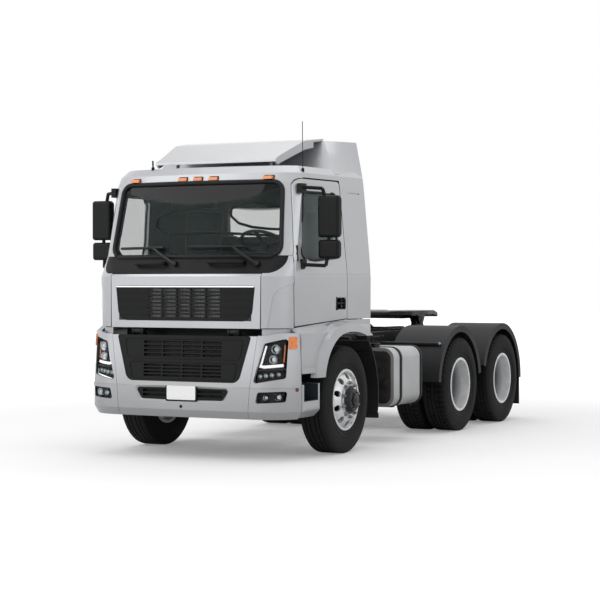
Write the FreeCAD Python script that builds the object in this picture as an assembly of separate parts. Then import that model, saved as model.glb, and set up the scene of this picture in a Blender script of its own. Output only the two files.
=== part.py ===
"""Tractor unit of a semi truck: forward-control cab, one steered axle, two driven axles.

Millimetres, +Z up. Everything below is placed from the middle of the front axle at
ground level, with the cab facing -Y and the driver's side at +X. save() moves each
piece to the frame that the parts are kept in: ground level, middle of the length.
"""
import FreeCAD, Part
import math
import os

V = FreeCAD.Vector

# ---- driving dimensions ------------------------------------------------------------
FRONT_OVERHANG = 1231.0      # bumper face to front axle
WHEELBASE = 2860.0           # front axle to first driven axle
BOGIE_SPACING = 1370.0       # first to second driven axle
REAR_OVERHANG = 659.0        # second driven axle to the end of the rails
TYRE_RADIUS = 522.0
TYRE_WIDTH = 290.0
BEAD_RADIUS = 285.75         # 22.5 inch rim seat
FRONT_WHEEL_X = 1007.0       # middle of the front tyre
OUTER_WHEEL_X = 1085.0       # middle of the outer twin tyre
TWIN_SPACING = 330.0
RIM_FLANGE = 298.5
DISC_OFFSET = 163.0          # rim middle to its bolting face
HUB_BORE = 140.5             # hole in the wheel disc that the hub centres
HAND_HOLE = 31.0
FRONT_SPINDLE = 45.0
REAR_SPINDLE = 62.5
RAIL_X = 425.0               # outer face of the side rails
RAIL_DEPTH = 270.0
RAIL_TOP = 1110.0
RAIL_FLANGE = 85.0
RAIL_WALL = 10.0
CAB_FLOOR_Z = 1245.0
FLOOR_THICKNESS = 50.0
ROOF_SEAM_Z = 2650.0
CAB_WALL = 60.0
FRONT_WALL = 80.0
SKIN = 46.0                  # outer panels over the front wall
HATCH_SKIN = 30.0
GLASS = 12.0
GLUE_LINE = 0.5              # round the windscreen and the rear window
MOVING_GAP = 7.0             # round doors and lids
PANEL_GAP = 3.0              # between fixed panels
RUNNING = 0.06               # radial clearance of a turning fit
TILT_PIVOT = (-1140.0, 1205.0)
TILT_PIN = 18.0
TILT_BOSS = 26.0
KINGPIN_X = 895.0
TANK_Y = (1130.0, 1890.0)
TANK_Z = (374.0, 984.0)
COUPLING_Y = WHEELBASE + BOGIE_SPACING / 2
COUPLING_Z = 1215.0
PLATE_TOP = 1330.0

FRAME_END = WHEELBASE + BOGIE_SPACING + REAR_OVERHANG
OVERALL_LENGTH = FRONT_OVERHANG + FRAME_END
REAR_BAR_Y = FRAME_END - 30.0
TO_KEPT_FRAME = V(0, FRONT_OVERHANG - OVERALL_LENGTH / 2, 0)
AXLE_Z = TYRE_RADIUS
DRIVE_AXLES = (WHEELBASE, WHEELBASE + BOGIE_SPACING)
INNER_WHEEL_X = OUTER_WHEEL_X - TWIN_SPACING
RAIL_BOTTOM = RAIL_TOP - RAIL_DEPTH
FLOOR_TOP = CAB_FLOOR_Z + FLOOR_THICKNESS


# ---- ways of making shapes ---------------------------------------------------------
def save(name, *solids):
    """Writes one piece, or like pieces that do not touch, as parts/NAME.step."""
    shape = solids[0] if len(solids) == 1 else Part.makeCompound(list(solids))
    shape = shape.copy()
    shape.translate(TO_KEPT_FRAME)
    shape.exportStep("parts/" + name + ".step")


def flipped(shape):
    return shape.mirror(V(0, 0, 0), V(1, 0, 0))


def moved(shape, x=0.0, y=0.0, z=0.0):
    copy = shape.copy()
    copy.translate(V(x, y, z))
    return copy


SIDES = (("left", moved), ("right", flipped))


def save_pair(name, shape):
    save(name, shape, flipped(shape))


def box(x, y, z):
    """A block from three (low, high) pairs."""
    return Part.makeBox(x[1] - x[0], y[1] - y[0], z[1] - z[0], V(x[0], y[0], z[0]))


def rod(start, end, radius):
    start, end = V(*start), V(*end)
    return Part.makeCylinder(radius, start.distanceToPoint(end), start, end - start)


def rounded(points):
    """A closed flat wire from (u, v) or (u, v, corner radius) points."""
    flat = [(V(p[0], p[1], 0), p[2] if len(p) > 2 else 0) for p in points]
    corners = []
    for i, (here, radius) in enumerate(flat):
        if radius == 0:
            corners.append((here, None, here))
            continue
        back = (flat[i - 1][0] - here).normalize()
        ahead = (flat[(i + 1) % len(flat)][0] - here).normalize()
        half = back.getAngle(ahead) / 2
        centre = here + (back + ahead).normalize() * (radius / math.sin(half))
        reach = radius / math.tan(half)
        middle = centre + (here - centre).normalize() * radius
        corners.append((here + back * reach, middle, here + ahead * reach))
    edges = []
    for i, (start, middle, end) in enumerate(corners):
        if middle is not None:
            edges.append(Part.Arc(start, middle, end).toShape())
        following = corners[(i + 1) % len(corners)][0]
        if end.distanceToPoint(following) > 1e-6:
            edges.append(Part.makeLine(end, following))
    return Part.Wire(edges)


AXES = {  # direction of extrusion: world directions of (u, v)
    "X": (V(0, 1, 0), V(0, 0, 1), V(1, 0, 0)),
    "Y": (V(1, 0, 0), V(0, 0, 1), V(0, -1, 0)),
    "Z": (V(1, 0, 0), V(0, 1, 0), V(0, 0, 1)),
}


def prism_wire(points, axis, at):
    """An outline laid in the plane across an axis."""
    u, v, w = AXES[axis]
    wire = rounded(points)
    wire.Placement = FreeCAD.Placement(V(0, 0, 0), FreeCAD.Rotation(u, v, w, "XYZ"))
    wire.translate(V(abs(w.x), abs(w.y), abs(w.z)) * at)
    return wire


def prism(points, axis, low, high):
    """An outline in the plane across an axis, extruded along it from low to high."""
    w = AXES[axis][2]
    return Part.Face(prism_wire(points, axis, low)).extrude(V(abs(w.x), abs(w.y), abs(w.z)) * (high - low))


def turned(profile, y=0.0, z=0.0):
    """A body of revolution about a cross axis, from (x, radius[, corner radius]) points."""
    face = Part.Face(rounded(profile))
    solid = face.revolve(V(0, 0, 0), V(1, 0, 0), 360)
    solid.translate(V(0, y, z))
    return solid


def spread(hole, count, y, z):
    """Copies of a cutter spaced evenly about a cross axis."""
    copies = []
    for i in range(count):
        copy = hole.copy()
        copy.rotate(V(0, y, z), V(1, 0, 0), 360.0 * i / count)
        copies.append(copy)
    return copies


def fused(*shapes):
    return shapes[0].multiFuse(list(shapes[1:])).removeSplitter()


def main_solid(shape):
    """The one wanted solid of a cut that may leave a crumb."""
    return max(shape.Solids, key=lambda solid: solid.Volume)


# ---- the outer form of the cab, the bumper and the wings ---------------------------
# height, nose y, shoulder (x, y), corner (x, y), side front (x, y), side rear (x, y)
CAB_SECTIONS = (
    (1130, -1191, (814, -1168), (965, -1085), (1050, -952), (1176, 486)),
    (1720, -1189, (814, -1166), (967, -1083), (1060, -948), (1182, 478)),
    (1930, -1132, (872, -968), (978, -935), (1040, -868), (1172, 468)),
    (2600, -925, (820, -842), (950, -790), (1020, -725), (1122, 442)),
    (2695, -880, (800, -800), (925, -750), (1000, -690), (1112, 438)),
    (2765, -820, (740, -745), (850, -705), (930, -650), (1040, 400)),
)
BUMPER_SECTIONS = (
    (398, -1200, (770, -1180), (990, -1092), (1092, -945), (1092, -700)),
    (470, -1231, (790, -1208), (1028, -1112), (1130, -955), (1130, -700)),
    (690, -1231, (790, -1208), (1030, -1112), (1130, -955), (1130, -700)),
    (1195, -1205, (770, -1182), (1005, -1088), (1118, -940), (1118, -700)),
)


def plan_wire(z, nose, shoulder, corner, front, rear, inset, nose_inset):
    """The outline of a rounded nose in plan, both sides, drawn in by an inset."""
    n = V(0, nose + nose_inset, z)
    s = V(shoulder[0] - 0.3 * inset, shoulder[1] + nose_inset, z)
    c = V(corner[0] - 0.7 * inset, corner[1] + 0.7 * nose_inset, z)
    f = V(front[0] - inset, front[1] + 0.4 * inset, z)
    r = V(rear[0] - inset, rear[1] - inset, z)
    far = [V(-p.x, p.y, p.z) for p in (s, c, f, r)]
    edges = [Part.Arc(far[0], n, s).toShape(), Part.Arc(s, c, f).toShape()]
    edges += [Part.makeLine(f, r), Part.makeLine(r, far[3]), Part.makeLine(far[3], far[2])]
    edges += [Part.Arc(far[2], far[1], far[0]).toShape()]
    return Part.Wire(edges)


def form(sections, inset=0.0, nose_inset=None, drop=0.0):
    """The solid form through a table of sections, drawn in, its top lowered by drop."""
    nose_inset = inset if nose_inset is None else nose_inset
    rows = [row for row in sections[:-1]] + [(sections[-1][0] - drop,) + sections[-1][1:]]
    wires = [plan_wire(*row, inset, nose_inset) for row in rows]
    return Part.makeLoft(wires, True, True)


def zone(z, y=(-1500, 1500), x=(-1500, 1500)):
    return box(x, y, z)


# ---- cab ---------------------------------------------------------------------------
DOOR = (  # outline seen from the side (y, z, corner radius)
    (-940, 1256), (-957, 1725, 120), (-893, 1945, 200), (-786, 2636, 90),
    (-45, 2636, 40), (10, 1800), (18, 1314),
)
DOOR_WINDOW = (
    (-800, 1890, 60), (-722, 2515, 60), (-120, 2520, 60), (-105, 1905, 60), (-560, 1868, 300),
)
SCREEN = (  # windscreen seen from the front, right half mirrored below (x, z, radius)
    (-912, 1925, 90), (-862, 2600, 90), (862, 2600, 90), (912, 1925, 90), (0, 1905, 4000),
)
HATCH = ((-806, 1236), (-812, 1742), (812, 1742), (806, 1236))
UPPER_GRILLE = ((-722, 1302, 110), (-757, 1633, 25), (757, 1633, 25), (722, 1302, 110))
REAR_WINDOW = ((-400, 2130, 60), (-400, 2440, 60), (400, 2440, 60), (400, 2130, 60))
COWL_Z = (1752.0, 1915.0)
COWL = ((-985, COWL_Z[1] - PANEL_GAP), (-985, COWL_Z[0], 130),
        (985, COWL_Z[0], 130), (985, COWL_Z[1] - PANEL_GAP))
SCOOP = ((1300, 1668), (1050, 1652, 60), (924, 1583, 150), (866, 1200), (1300, 1200))
SCOOP_DEPTH = 6.0            # how far the corner panel sinks behind its curved crease
BELT_Z = 1736.0              # pressed line along the doors and the side panels
BELT_GROOVE = (7.0, 4.0)     # its height and depth
SIDE_VENT = ((123, 342), (2530, 2541), 8.0)
DOOR_INSIDE = 905.0          # no part of a door reaches further in than this
TUNNEL = (430.0, 1500.0)     # half width and top of the hump over the engine
SEAT_X = 600.0


def grown(points, by):
    """The same outline, each point moved away from the middle by about the amount."""
    cu = sum(p[0] for p in points) / len(points)
    cv = sum(p[1] for p in points) / len(points)
    out = []
    for p in points:
        su, sv = math.copysign(1, p[0] - cu), math.copysign(1, p[1] - cv)
        out.append((p[0] + su * by, p[1] + sv * by) + tuple(p[2:]))
    return out


def cab_pieces():
    outer = form(CAB_SECTIONS)
    under_skin = form(CAB_SECTIONS, SKIN)
    inner = form(CAB_SECTIONS, CAB_WALL, FRONT_WALL, drop=CAB_WALL)
    inner = inner.common(zone((1000, 2765 - CAB_WALL)))
    wall = outer.cut(inner)

    # doors first: everything round them keeps the moving gap
    door_hole = prism(grown(DOOR, MOVING_GAP), "X", DOOR_INSIDE - MOVING_GAP, 1300)
    holes = Part.makeCompound([door_hole, flipped(door_hole)])
    door = wall.common(prism(DOOR, "X", DOOR_INSIDE, 1300))
    window = prism(DOOR_WINDOW, "X", 700, 1300)
    recess = prism(((-190, 1402, 20), (-180, 1518, 20), (-8, 1518, 20), (-8, 1402, 20)), "X", 1085, 1300)
    height, depth = BELT_GROOVE
    belt = outer.cut(form(CAB_SECTIONS, depth))
    belt = belt.common(zone((BELT_Z, BELT_Z + height), (-900, 500), (900, 1300)))
    door = door.cut(window).cut(recess).cut(belt)
    pane = form(CAB_SECTIONS, 22).cut(form(CAB_SECTIONS, 22 + GLASS)).common(window)
    for side, make in SIDES:
        save("door_" + side, make(door))
        save("door_glass_" + side, make(pane))

    # roof, rear wall and the panels behind the doors
    save("cab_roof", wall.common(zone((ROOF_SEAM_Z, 2800))))
    rear_x = 1060.0
    below_roof = (CAB_FLOOR_Z, ROOF_SEAM_Z)
    window = prism(REAR_WINDOW, "Y", 300, 600)
    back = wall.common(zone(below_roof, (300, 600), (-rear_x, rear_x)))
    save("cab_rear_wall", back.cut(window).cut(tunnel_void()))
    quarter = wall.common(zone((1308, ROOF_SEAM_Z), (-100, 600), (rear_x, 1300)))
    ahead = prism(((-200, 1200), (-200, 2700), (-45 + MOVING_GAP, 2700), (10 + MOVING_GAP, 1800),
                   (18 + MOVING_GAP, 1200)), "X", 900, 1300)
    vent_y, vent_z, depth = SIDE_VENT
    vent = outer.cut(form(CAB_SECTIONS, depth)).common(zone(vent_z, vent_y, (900, 1300)))
    save_pair("cab_side_panels", quarter.cut(ahead).cut(belt).cut(vent))

    # front wall with the pillars and the header, then what is fixed over it
    pillar_zone = prism(((-1300, 1250), (-1300, ROOF_SEAM_Z), (-700, ROOF_SEAM_Z), (-700, 2540),
                         (-880, 1945), (-890, 1250)), "X", -1300, 1300)
    screen_hole = prism(SCREEN, "Y", -1300, -650)
    lower = under_skin.cut(inner).common(zone((1250, COWL_Z[1]), (-1300, -600)))
    upper = wall.common(zone((COWL_Z[1], ROOF_SEAM_Z), (-1300, -600)))
    front = fused(lower, upper).common(pillar_zone).cut(screen_hole).cut(holes)
    save("cab_front", main_solid(front))
    skin = outer.cut(under_skin)
    cowl = skin.common(prism(COWL, "Y", -1300, -700)).cut(screen_hole).cut(holes)
    save("windscreen_cowl", main_solid(cowl))
    corner = skin.common(zone((CAB_FLOOR_Z - 5, COWL_Z[0] - PANEL_GAP), (-1300, -951), (818, 1300)))
    cheek = skin.common(zone((COWL_Z[0] - PANEL_GAP, COWL_Z[1] - PANEL_GAP), (-1300, -700), (818, 1300)))
    scoop = outer.cut(form(CAB_SECTIONS, SCOOP_DEPTH)).common(prism(SCOOP, "Y", -1300, -700))
    corner = fused(corner, cheek).cut(holes).cut(prism(grown(COWL, PANEL_GAP), "Y", -1300, -700))
    corner = main_solid(corner.cut(scoop))
    save_pair("cowl_panels", corner)

    # glass bonded in its openings, set in from the skin
    inside = prism(grown(SCREEN, -GLUE_LINE), "Y", -1300, -650)
    screen = form(CAB_SECTIONS, 10).cut(form(CAB_SECTIONS, 10 + GLASS)).common(inside)
    back = prism(grown(REAR_WINDOW, -GLUE_LINE), "Y", 430, 430 + GLASS)
    save("cab_glass", screen, back)

    # front lid with the upper grille in it
    lid = outer.cut(form(CAB_SECTIONS, HATCH_SKIN)).common(prism(HATCH, "Y", -1300, -900))
    opening = prism(UPPER_GRILLE, "Y", -1300, -900)
    save("front_hatch", lid.cut(opening))
    panel = grille(UPPER_GRILLE, form(CAB_SECTIONS, 6), form(CAB_SECTIONS, HATCH_SKIN),
                   ((-395, 395, 1330, 1612),), 8, 5)
    proud = form(CAB_SECTIONS, 1).cut(form(CAB_SECTIONS, 10))
    proud = proud.common(prism(grown(UPPER_GRILLE, -22), "Y", -1300, -900))
    ribs = [proud.common(zone((z, z + 9), (-1300, -900), span))
            for z in (1358, 1425, 1492, 1559) for span in ((-800, -408), (408, 800))]
    save("upper_grille", fused(panel, *ribs))

    # floor with the raised engine tunnel
    inside = form(CAB_SECTIONS, CAB_WALL, FRONT_WALL)
    half, top = TUNNEL
    hump = prism(((-half - 40, CAB_FLOOR_Z), (-half, top, 60), (half, top, 60), (half + 40, CAB_FLOOR_Z)),
                 "Y", -1010, 420)
    floor = fused(inside.common(zone((CAB_FLOOR_Z, FLOOR_TOP))), hump.common(inside)).cut(tunnel_void())
    beside_doors = outer.cut(form(CAB_SECTIONS, CAB_WALL + MOVING_GAP)).common(holes)
    pivot_y, pivot_z = TILT_PIVOT
    ears = []
    for x in (-555, 485):
        ear = prism(((pivot_y + 40, CAB_FLOOR_Z + 5), (pivot_y + 4, pivot_z + 20),
                     (pivot_y + 4, pivot_z - 24), (pivot_y + 40, pivot_z - 20, 20),
                     (pivot_y + 150, CAB_FLOOR_Z + 5)), "X", x, x + 70)
        ears += [ear, rod((x, pivot_y, pivot_z), (x + 70, pivot_y, pivot_z), TILT_BOSS)]
    bore = rod((-700, pivot_y, pivot_z), (700, pivot_y, pivot_z), TILT_PIN + RUNNING)
    save("cab_floor", fused(floor.cut(beside_doors), *ears).cut(bore))


def tunnel_void():
    """The space under the hump, open at the back of the cab."""
    half, top = TUNNEL
    return prism(((-half + 10, 1100), (-half + 50, top - 50, 40),
                  (half - 50, top - 50, 40), (half - 10, 1100)), "Y", -960, 600)


def grille(outline, outer, inner, windows, rows, posts):
    """A panel between two forms, with slatted windows (x, x, z, z)."""
    panel = outer.cut(inner).common(prism(outline, "Y", -1400, -900))
    cutters = []
    for x0, x1, z0, z1 in windows:
        pitch_z, pitch_x = (z1 - z0) / rows, (x1 - x0) / posts
        for i in range(rows):
            for j in range(posts):
                cutters.append(box((x0 + pitch_x * j + 8, x0 + pitch_x * (j + 1) - 8), (-1400, -900),
                                   (z0 + pitch_z * i + 7, z0 + pitch_z * (i + 1) - 7)))
    return panel.cut(Part.makeCompound(cutters))


# ---- wings over the front wheels, carried by the cab -------------------------------
def wing_wire(z, points, thickness):
    """Outer curve through three (x, y) points and a straight run, with its inner copy."""
    (x0, y0), (x1, y1), (x2, y2), (x3, y3) = points
    a, b, c, d = V(x0, y0, z), V(x1, y1, z), V(x2, y2, z), V(x3, y3, z)
    shift = V(-thickness, 0, 0)
    edges = [Part.Arc(a, b, c).toShape(), Part.makeLine(c, d), Part.makeLine(d, d + shift)]
    edges += [Part.makeLine(d + shift, c + shift), Part.Arc(c + shift, b + shift, a + shift).toShape()]
    edges += [Part.makeLine(a + shift, a)]
    return Part.Wire(edges)


WHEEL_OPENING = ((-584, 772), (-430, 1060), (-130, 1180), (130, 1178), (330, 1137))
FLARE = ((-745, 772), (-600, 1085), (-327, 1268), (60, 1288), (486, 1160))
FLARE_HEIGHT = 38.0          # how far the flare stands out from the side
FLARE_DRAFT = 26.0           # how far its outer edge leans in


def arched(x, points, closing):
    """A closed wire across X: two arcs through five (y, z) points, then straight runs."""
    a, b, c, d, e = [V(x, y, z) for y, z in points]
    rest = [e] + [V(x, y, z) for y, z in closing] + [a]
    edges = [Part.Arc(a, b, c).toShape(), Part.Arc(c, d, e).toShape()]
    return Part.Wire(edges + [Part.makeLine(p, q) for p, q in zip(rest, rest[1:])])


def wings():
    flank = ((1128, -948), (1162, -560), (1176, -60), (1176, 486))
    under_door = ((1050, -948), (1086, -540), (1128, -60), (1176, 486))
    rows = ((740, flank), (1190, flank), (1252, under_door), (1330, under_door))
    panel = Part.makeLoft([wing_wire(z, pts, CAB_WALL) for z, pts in rows], True, True)
    panel = panel.cut(form(CAB_SECTIONS, CAB_WALL).common(zone((CAB_FLOOR_Z, FLOOR_TOP + CAB_WALL))))
    top = MOVING_GAP
    side = prism(((-948, 818), (-948, 1249 - top), (20, 1312 - top), (20, 1300), (486, 1300), (486, 772),
                  (-668, 772), (-690, 818, 20)), "X", 900, 1300)
    opening = Part.Face(arched(900, WHEEL_OPENING, ((500, 1137), (500, 600), (-584, 600))))
    opening = opening.extrude(V(400, 0, 0))
    lip = prism(((1090, -948), (1142, -948), (1166, -700, 30), (1166, -640, 40), (1090, -640)), "Z", 818, 872)

    # the flare is a drafted band round the opening that keeps level with the side
    leaning = [(y - FLARE_DRAFT * (y + 80) / 665, z - FLARE_DRAFT * (z - 700) / 590) for y, z in FLARE]
    foot = ((486, 772),)
    leaning_foot = ((leaning[-1][0], 772),)
    band = Part.makeLoft([arched(1120, FLARE, foot), arched(1215, leaning, leaning_foot)], True, True)
    proud = [(x + FLARE_HEIGHT, y) for x, y in flank]
    level = Part.makeLoft([wing_wire(z, proud, 110) for z in (740, 1330)], True, True)
    flare = band.common(level).common(zone((772, 1300), (-760, 486)))
    save_pair("front_wings", main_solid(fused(panel.common(side), lip, flare).cut(opening)))


# ---- roof fairing and small roof pieces --------------------------------------------
def frustum(bottom, top, z0, z1):
    """A solid between two plan rectangles (half width front, y front, half width rear, y rear)."""
    wires = []
    for (xf, yf, xr, yr), z in ((bottom, z0), (top, z1)):
        corners = [V(-xf, yf, z), V(xf, yf, z), V(xr, yr, z), V(-xr, yr, z), V(-xf, yf, z)]
        wires.append(Part.makePolygon(corners))
    return Part.makeLoft(wires, True, True)


def roof_fairing():
    base_z, top_z, shell = 2712.0, 3066.0, 22.0
    outer = frustum((1052, -60, 1068, 530), (800, 190, 985, 560), base_z, top_z)
    inner = frustum((1052 - shell, -60 + shell, 1068 - shell, 700),
                    (800 - shell, 190 + shell, 985 - shell, 700), base_z - 1, top_z - shell)
    rear_cut = prism(((300, 2700), (300, 2640), (700, 2640), (700, 2700)), "X", -1200, 1200)
    hood = outer.cut(inner).cut(rear_cut)
    line = ((-585, 2818), (-585, 2846, 12), (-90, 3048, 260), (215, 3088), (215, 3066), (-90, 3024, 250),
            (-560, 2818))
    plan = ((-668, -700), (-668, -480), (-740, 0), (-800, 300),
            (800, 300), (740, 0), (668, -480), (668, -700))
    leaf = prism(line, "X", -900, 900).common(prism(plan, "Z", 2700, 3200))
    cheeks = prism(((-575, 2818), (-575, 2840, 12), (-90, 3040, 255), (60, 3062),
                    (60, 2990), (-90, 2960, 200), (-540, 2790)), "X", -900, 900)
    cheeks = cheeks.common(prism(plan, "Z", 2700, 3200))
    cheeks = cheeks.cut(prism([(x * 0.97, y) for x, y in plan], "Z", 2700, 3200))
    legs = [rod((x, -420, 2755), (x, -380, 2905), 16) for x in (-520, 520)]
    feet = [box((x - 45, x + 45), (90, 170), (2755, 2790)) for x in (-700, 700)]
    stays = [rod((x, 130, 2760), (x * 1.05, 150, 2985), 18) for x in (-700, 700)]
    save("roof_fairing", main_solid(fused(hood, leaf, cheeks, *legs, *stays, *feet).cut(form(CAB_SECTIONS))))


def roof_small_pieces():
    lamps = []
    for x, y in ((-729, -862), (-168, -905), (0, -907), (168, -905), (729, -862)):
        base = box((x - 45, x + 45), (y - 14, y + 40), (2634, 2664))
        lamps.append(base.cut(form(CAB_SECTIONS)))
    save("marker_lamps", *[lamp.Solids[0] for lamp in lamps])
    whip = fused(rod((985, -640, 2690), (985, -640, 2740), 14),
                 rod((985, -640, 2740), (985, -650, 3180), 3.5))
    stub = fused(rod((-585, -770, 2755), (-585, -770, 2785), 16),
                 rod((-585, -770, 2785), (-585, -775, 2850), 8))
    roof = form(CAB_SECTIONS)
    save("antennas", whip.cut(roof), stub.cut(roof))


# ---- mirrors on the doors ----------------------------------------------------------
def mirrors():
    upper = box((1150, 1368), (-672, -585), (2085, 2478))
    lower = box((1152, 1366), (-668, -588), (1885, 2062))
    heads = []
    for head in (upper, lower):
        edges = [e for e in head.Edges if e.BoundBox.ZLength < 1 or e.BoundBox.ZLength > 100]
        heads.append(head.makeFillet(28, edges))
    arms = [rod((1035, -740, 2555), (1190, -640, 2545), 17), rod((1190, -640, 2545), (1215, -628, 2460), 17),
            rod((1045, -770, 1830), (1230, -650, 1820), 17), rod((1230, -650, 1820), (1240, -630, 1900), 17),
            rod((1250, -628, 1960), (1250, -628, 2200), 17)]
    feet = [box((1000, 1050), (-800, -690), (2500, 2590)), box((1035, 1068), (-830, -720), (1785, 1880))]
    whole = fused(*heads, *arms, *feet).cut(form(CAB_SECTIONS))
    whole = max(whole.Solids, key=lambda s: s.Volume)
    save("mirror_left", whole)
    save("mirror_right", flipped(whole))


# ---- inside the cab ----------------------------------------------------------------
def cab_inside():
    desk = prism(((-1000, FLOOR_TOP + 215), (-1020, 1800, 60), (-840, 1880, 60), (-660, 1830, 60),
                  (-690, 1640, 60), (-860, FLOOR_TOP + 215)), "X", -900, 900)
    wheel = Part.makeTorus(225, 16, V(0, 0, 0), V(0, 0, 1))
    hub = Part.makeCylinder(60, 40, V(0, 0, -20))
    spokes = [box((-225, 225), (-18, 18), (-10, 8)), box((-18, 18), (-225, 0), (-10, 8))]
    column = Part.makeCylinder(45, 420, V(0, 0, -420))
    steering = fused(wheel, hub, *spokes, column)
    steering.rotate(V(0, 0, 0), V(1, 0, 0), -32)
    steering.translate(V(555, -600, 2030))
    desk = desk.common(form(CAB_SECTIONS, CAB_WALL, FRONT_WALL))
    save("dashboard", fused(desk, steering))
    x = SEAT_X
    base = box((x - 115, x + 190), (-240, 200), (FLOOR_TOP, 1605))
    pan = prism(((-330, 1600, 40), (-330, 1740, 60), (200, 1730, 20), (200, 1600, 20)), "X", x - 240, x + 240)
    back = prism(((130, 1700, 40), (270, 2420, 40), (380, 2420, 45), (250, 1640, 50)), "X", x - 235, x + 235)
    head = prism(((290, 2400, 20), (310, 2560, 30), (390, 2560, 35), (375, 2400, 20)), "X", x - 130, x + 130)
    save_pair("seats", moved(fused(base, pan, back, head), y=-25))


# ---- wheels ------------------------------------------------------------------------
def tyre(x):
    """A tyre about a cross axis, its middle at x: sides and tread as arcs and lines."""
    half, tread = TYRE_WIDTH / 2, TYRE_RADIUS
    # distance in from the side, radius: bead, side wall, shoulder, tread
    edge = ((23, BEAD_RADIUS), (23, RIM_FLANGE), (13, 318), (2, 360), (0, 408), (5, 458), (15, 498),
            (24, tread - 7), (40, tread))
    profile = [(x + half - inward, r) for inward, r in edge]
    profile += [(x - half + inward, r) for inward, r in reversed(edge)]
    return turned(profile)


def rim(x, out, holes=True):
    """A disc wheel with its middle at x; out is +1 when its bolting face is outboard."""
    flange, seat = RIM_FLANGE, BEAD_RADIUS
    # distance towards the bolting face from the middle, radius
    barrel = ((-122, seat), (-122, flange), (-128, flange), (-128, 272), (40, 262), (90, 264), (128, 276),
              (128, flange), (122, flange), (122, seat), (80, 272), (-70, 276))
    disc = ((60, 268), (92, 270), (DISC_OFFSET - 34, 244), (DISC_OFFSET - 8, 206), (DISC_OFFSET, 186),
            (DISC_OFFSET, HUB_BORE), (DISC_OFFSET - 12, HUB_BORE), (DISC_OFFSET - 13, 184),
            (DISC_OFFSET - 24, 202), (DISC_OFFSET - 52, 240))
    pieces = [turned([(x + out * along, r) for along, r in outline]) for outline in (barrel, disc)]
    whole = fused(*pieces)
    if holes:
        hole = rod((x + out * 70, 0, 226), (x + out * (DISC_OFFSET + 10), 0, 226), HAND_HOLE)
        whole = whole.cut(Part.makeCompound(spread(hole, 10, 0, 0)))
    return whole


def front_wheels():
    face = FRONT_WHEEL_X + DISC_OFFSET
    bore = FRONT_SPINDLE + RUNNING
    hub = ((986, bore), (986, 105), (1000, 105), (1000, 215), (1040, 215), (1040, 120), (face - 34, 120),
           (face - 34, 176), (face - 12, 176), (face - 12, HUB_BORE), (face + 8, HUB_BORE), (face + 14, 118),
           (face + 56, 108), (face + 62, 96), (face + 62, 0), (1120, 0), (1120, bore))
    wheel = fused(rim(FRONT_WHEEL_X, 1), turned(hub))
    for side, make in SIDES:
        for kind, shape in (("tyre", tyre(FRONT_WHEEL_X)), ("rim", wheel)):
            save("front_" + kind + "_" + side, make(moved(shape, z=AXLE_Z)))


def drive_wheels():
    mount = OUTER_WHEEL_X - DISC_OFFSET
    bore = REAR_SPINDLE + RUNNING
    hub = ((mount - 150, bore), (mount - 150, 205), (mount - 30, 205), (mount - 12, 176), (mount + 2, 176),
           (mount + 2, HUB_BORE), (mount + 24, HUB_BORE), (mount + 60, 124), (mount + 132, 116),
           (mount + 146, 84), (mount + 146, 0), (mount + 98, 0), (mount + 98, bore))
    rims = fused(rim(OUTER_WHEEL_X, -1), rim(INNER_WHEEL_X, 1, holes=False), turned(hub))
    tyres = Part.makeCompound([tyre(OUTER_WHEEL_X), tyre(INNER_WHEEL_X)])
    for number, y in enumerate(DRIVE_AXLES, 1):
        for side, make in SIDES:
            for kind, shape in (("tyres", tyres), ("rims", rims)):
                save("drive_%s_%d_%s" % (kind, number, side), make(moved(shape, y=y, z=AXLE_Z)))


# ---- front axle and steering -------------------------------------------------------
ARM_BACK, ARM_Z = 170.0, 410.0       # tie rod joint behind and above the ground


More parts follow.
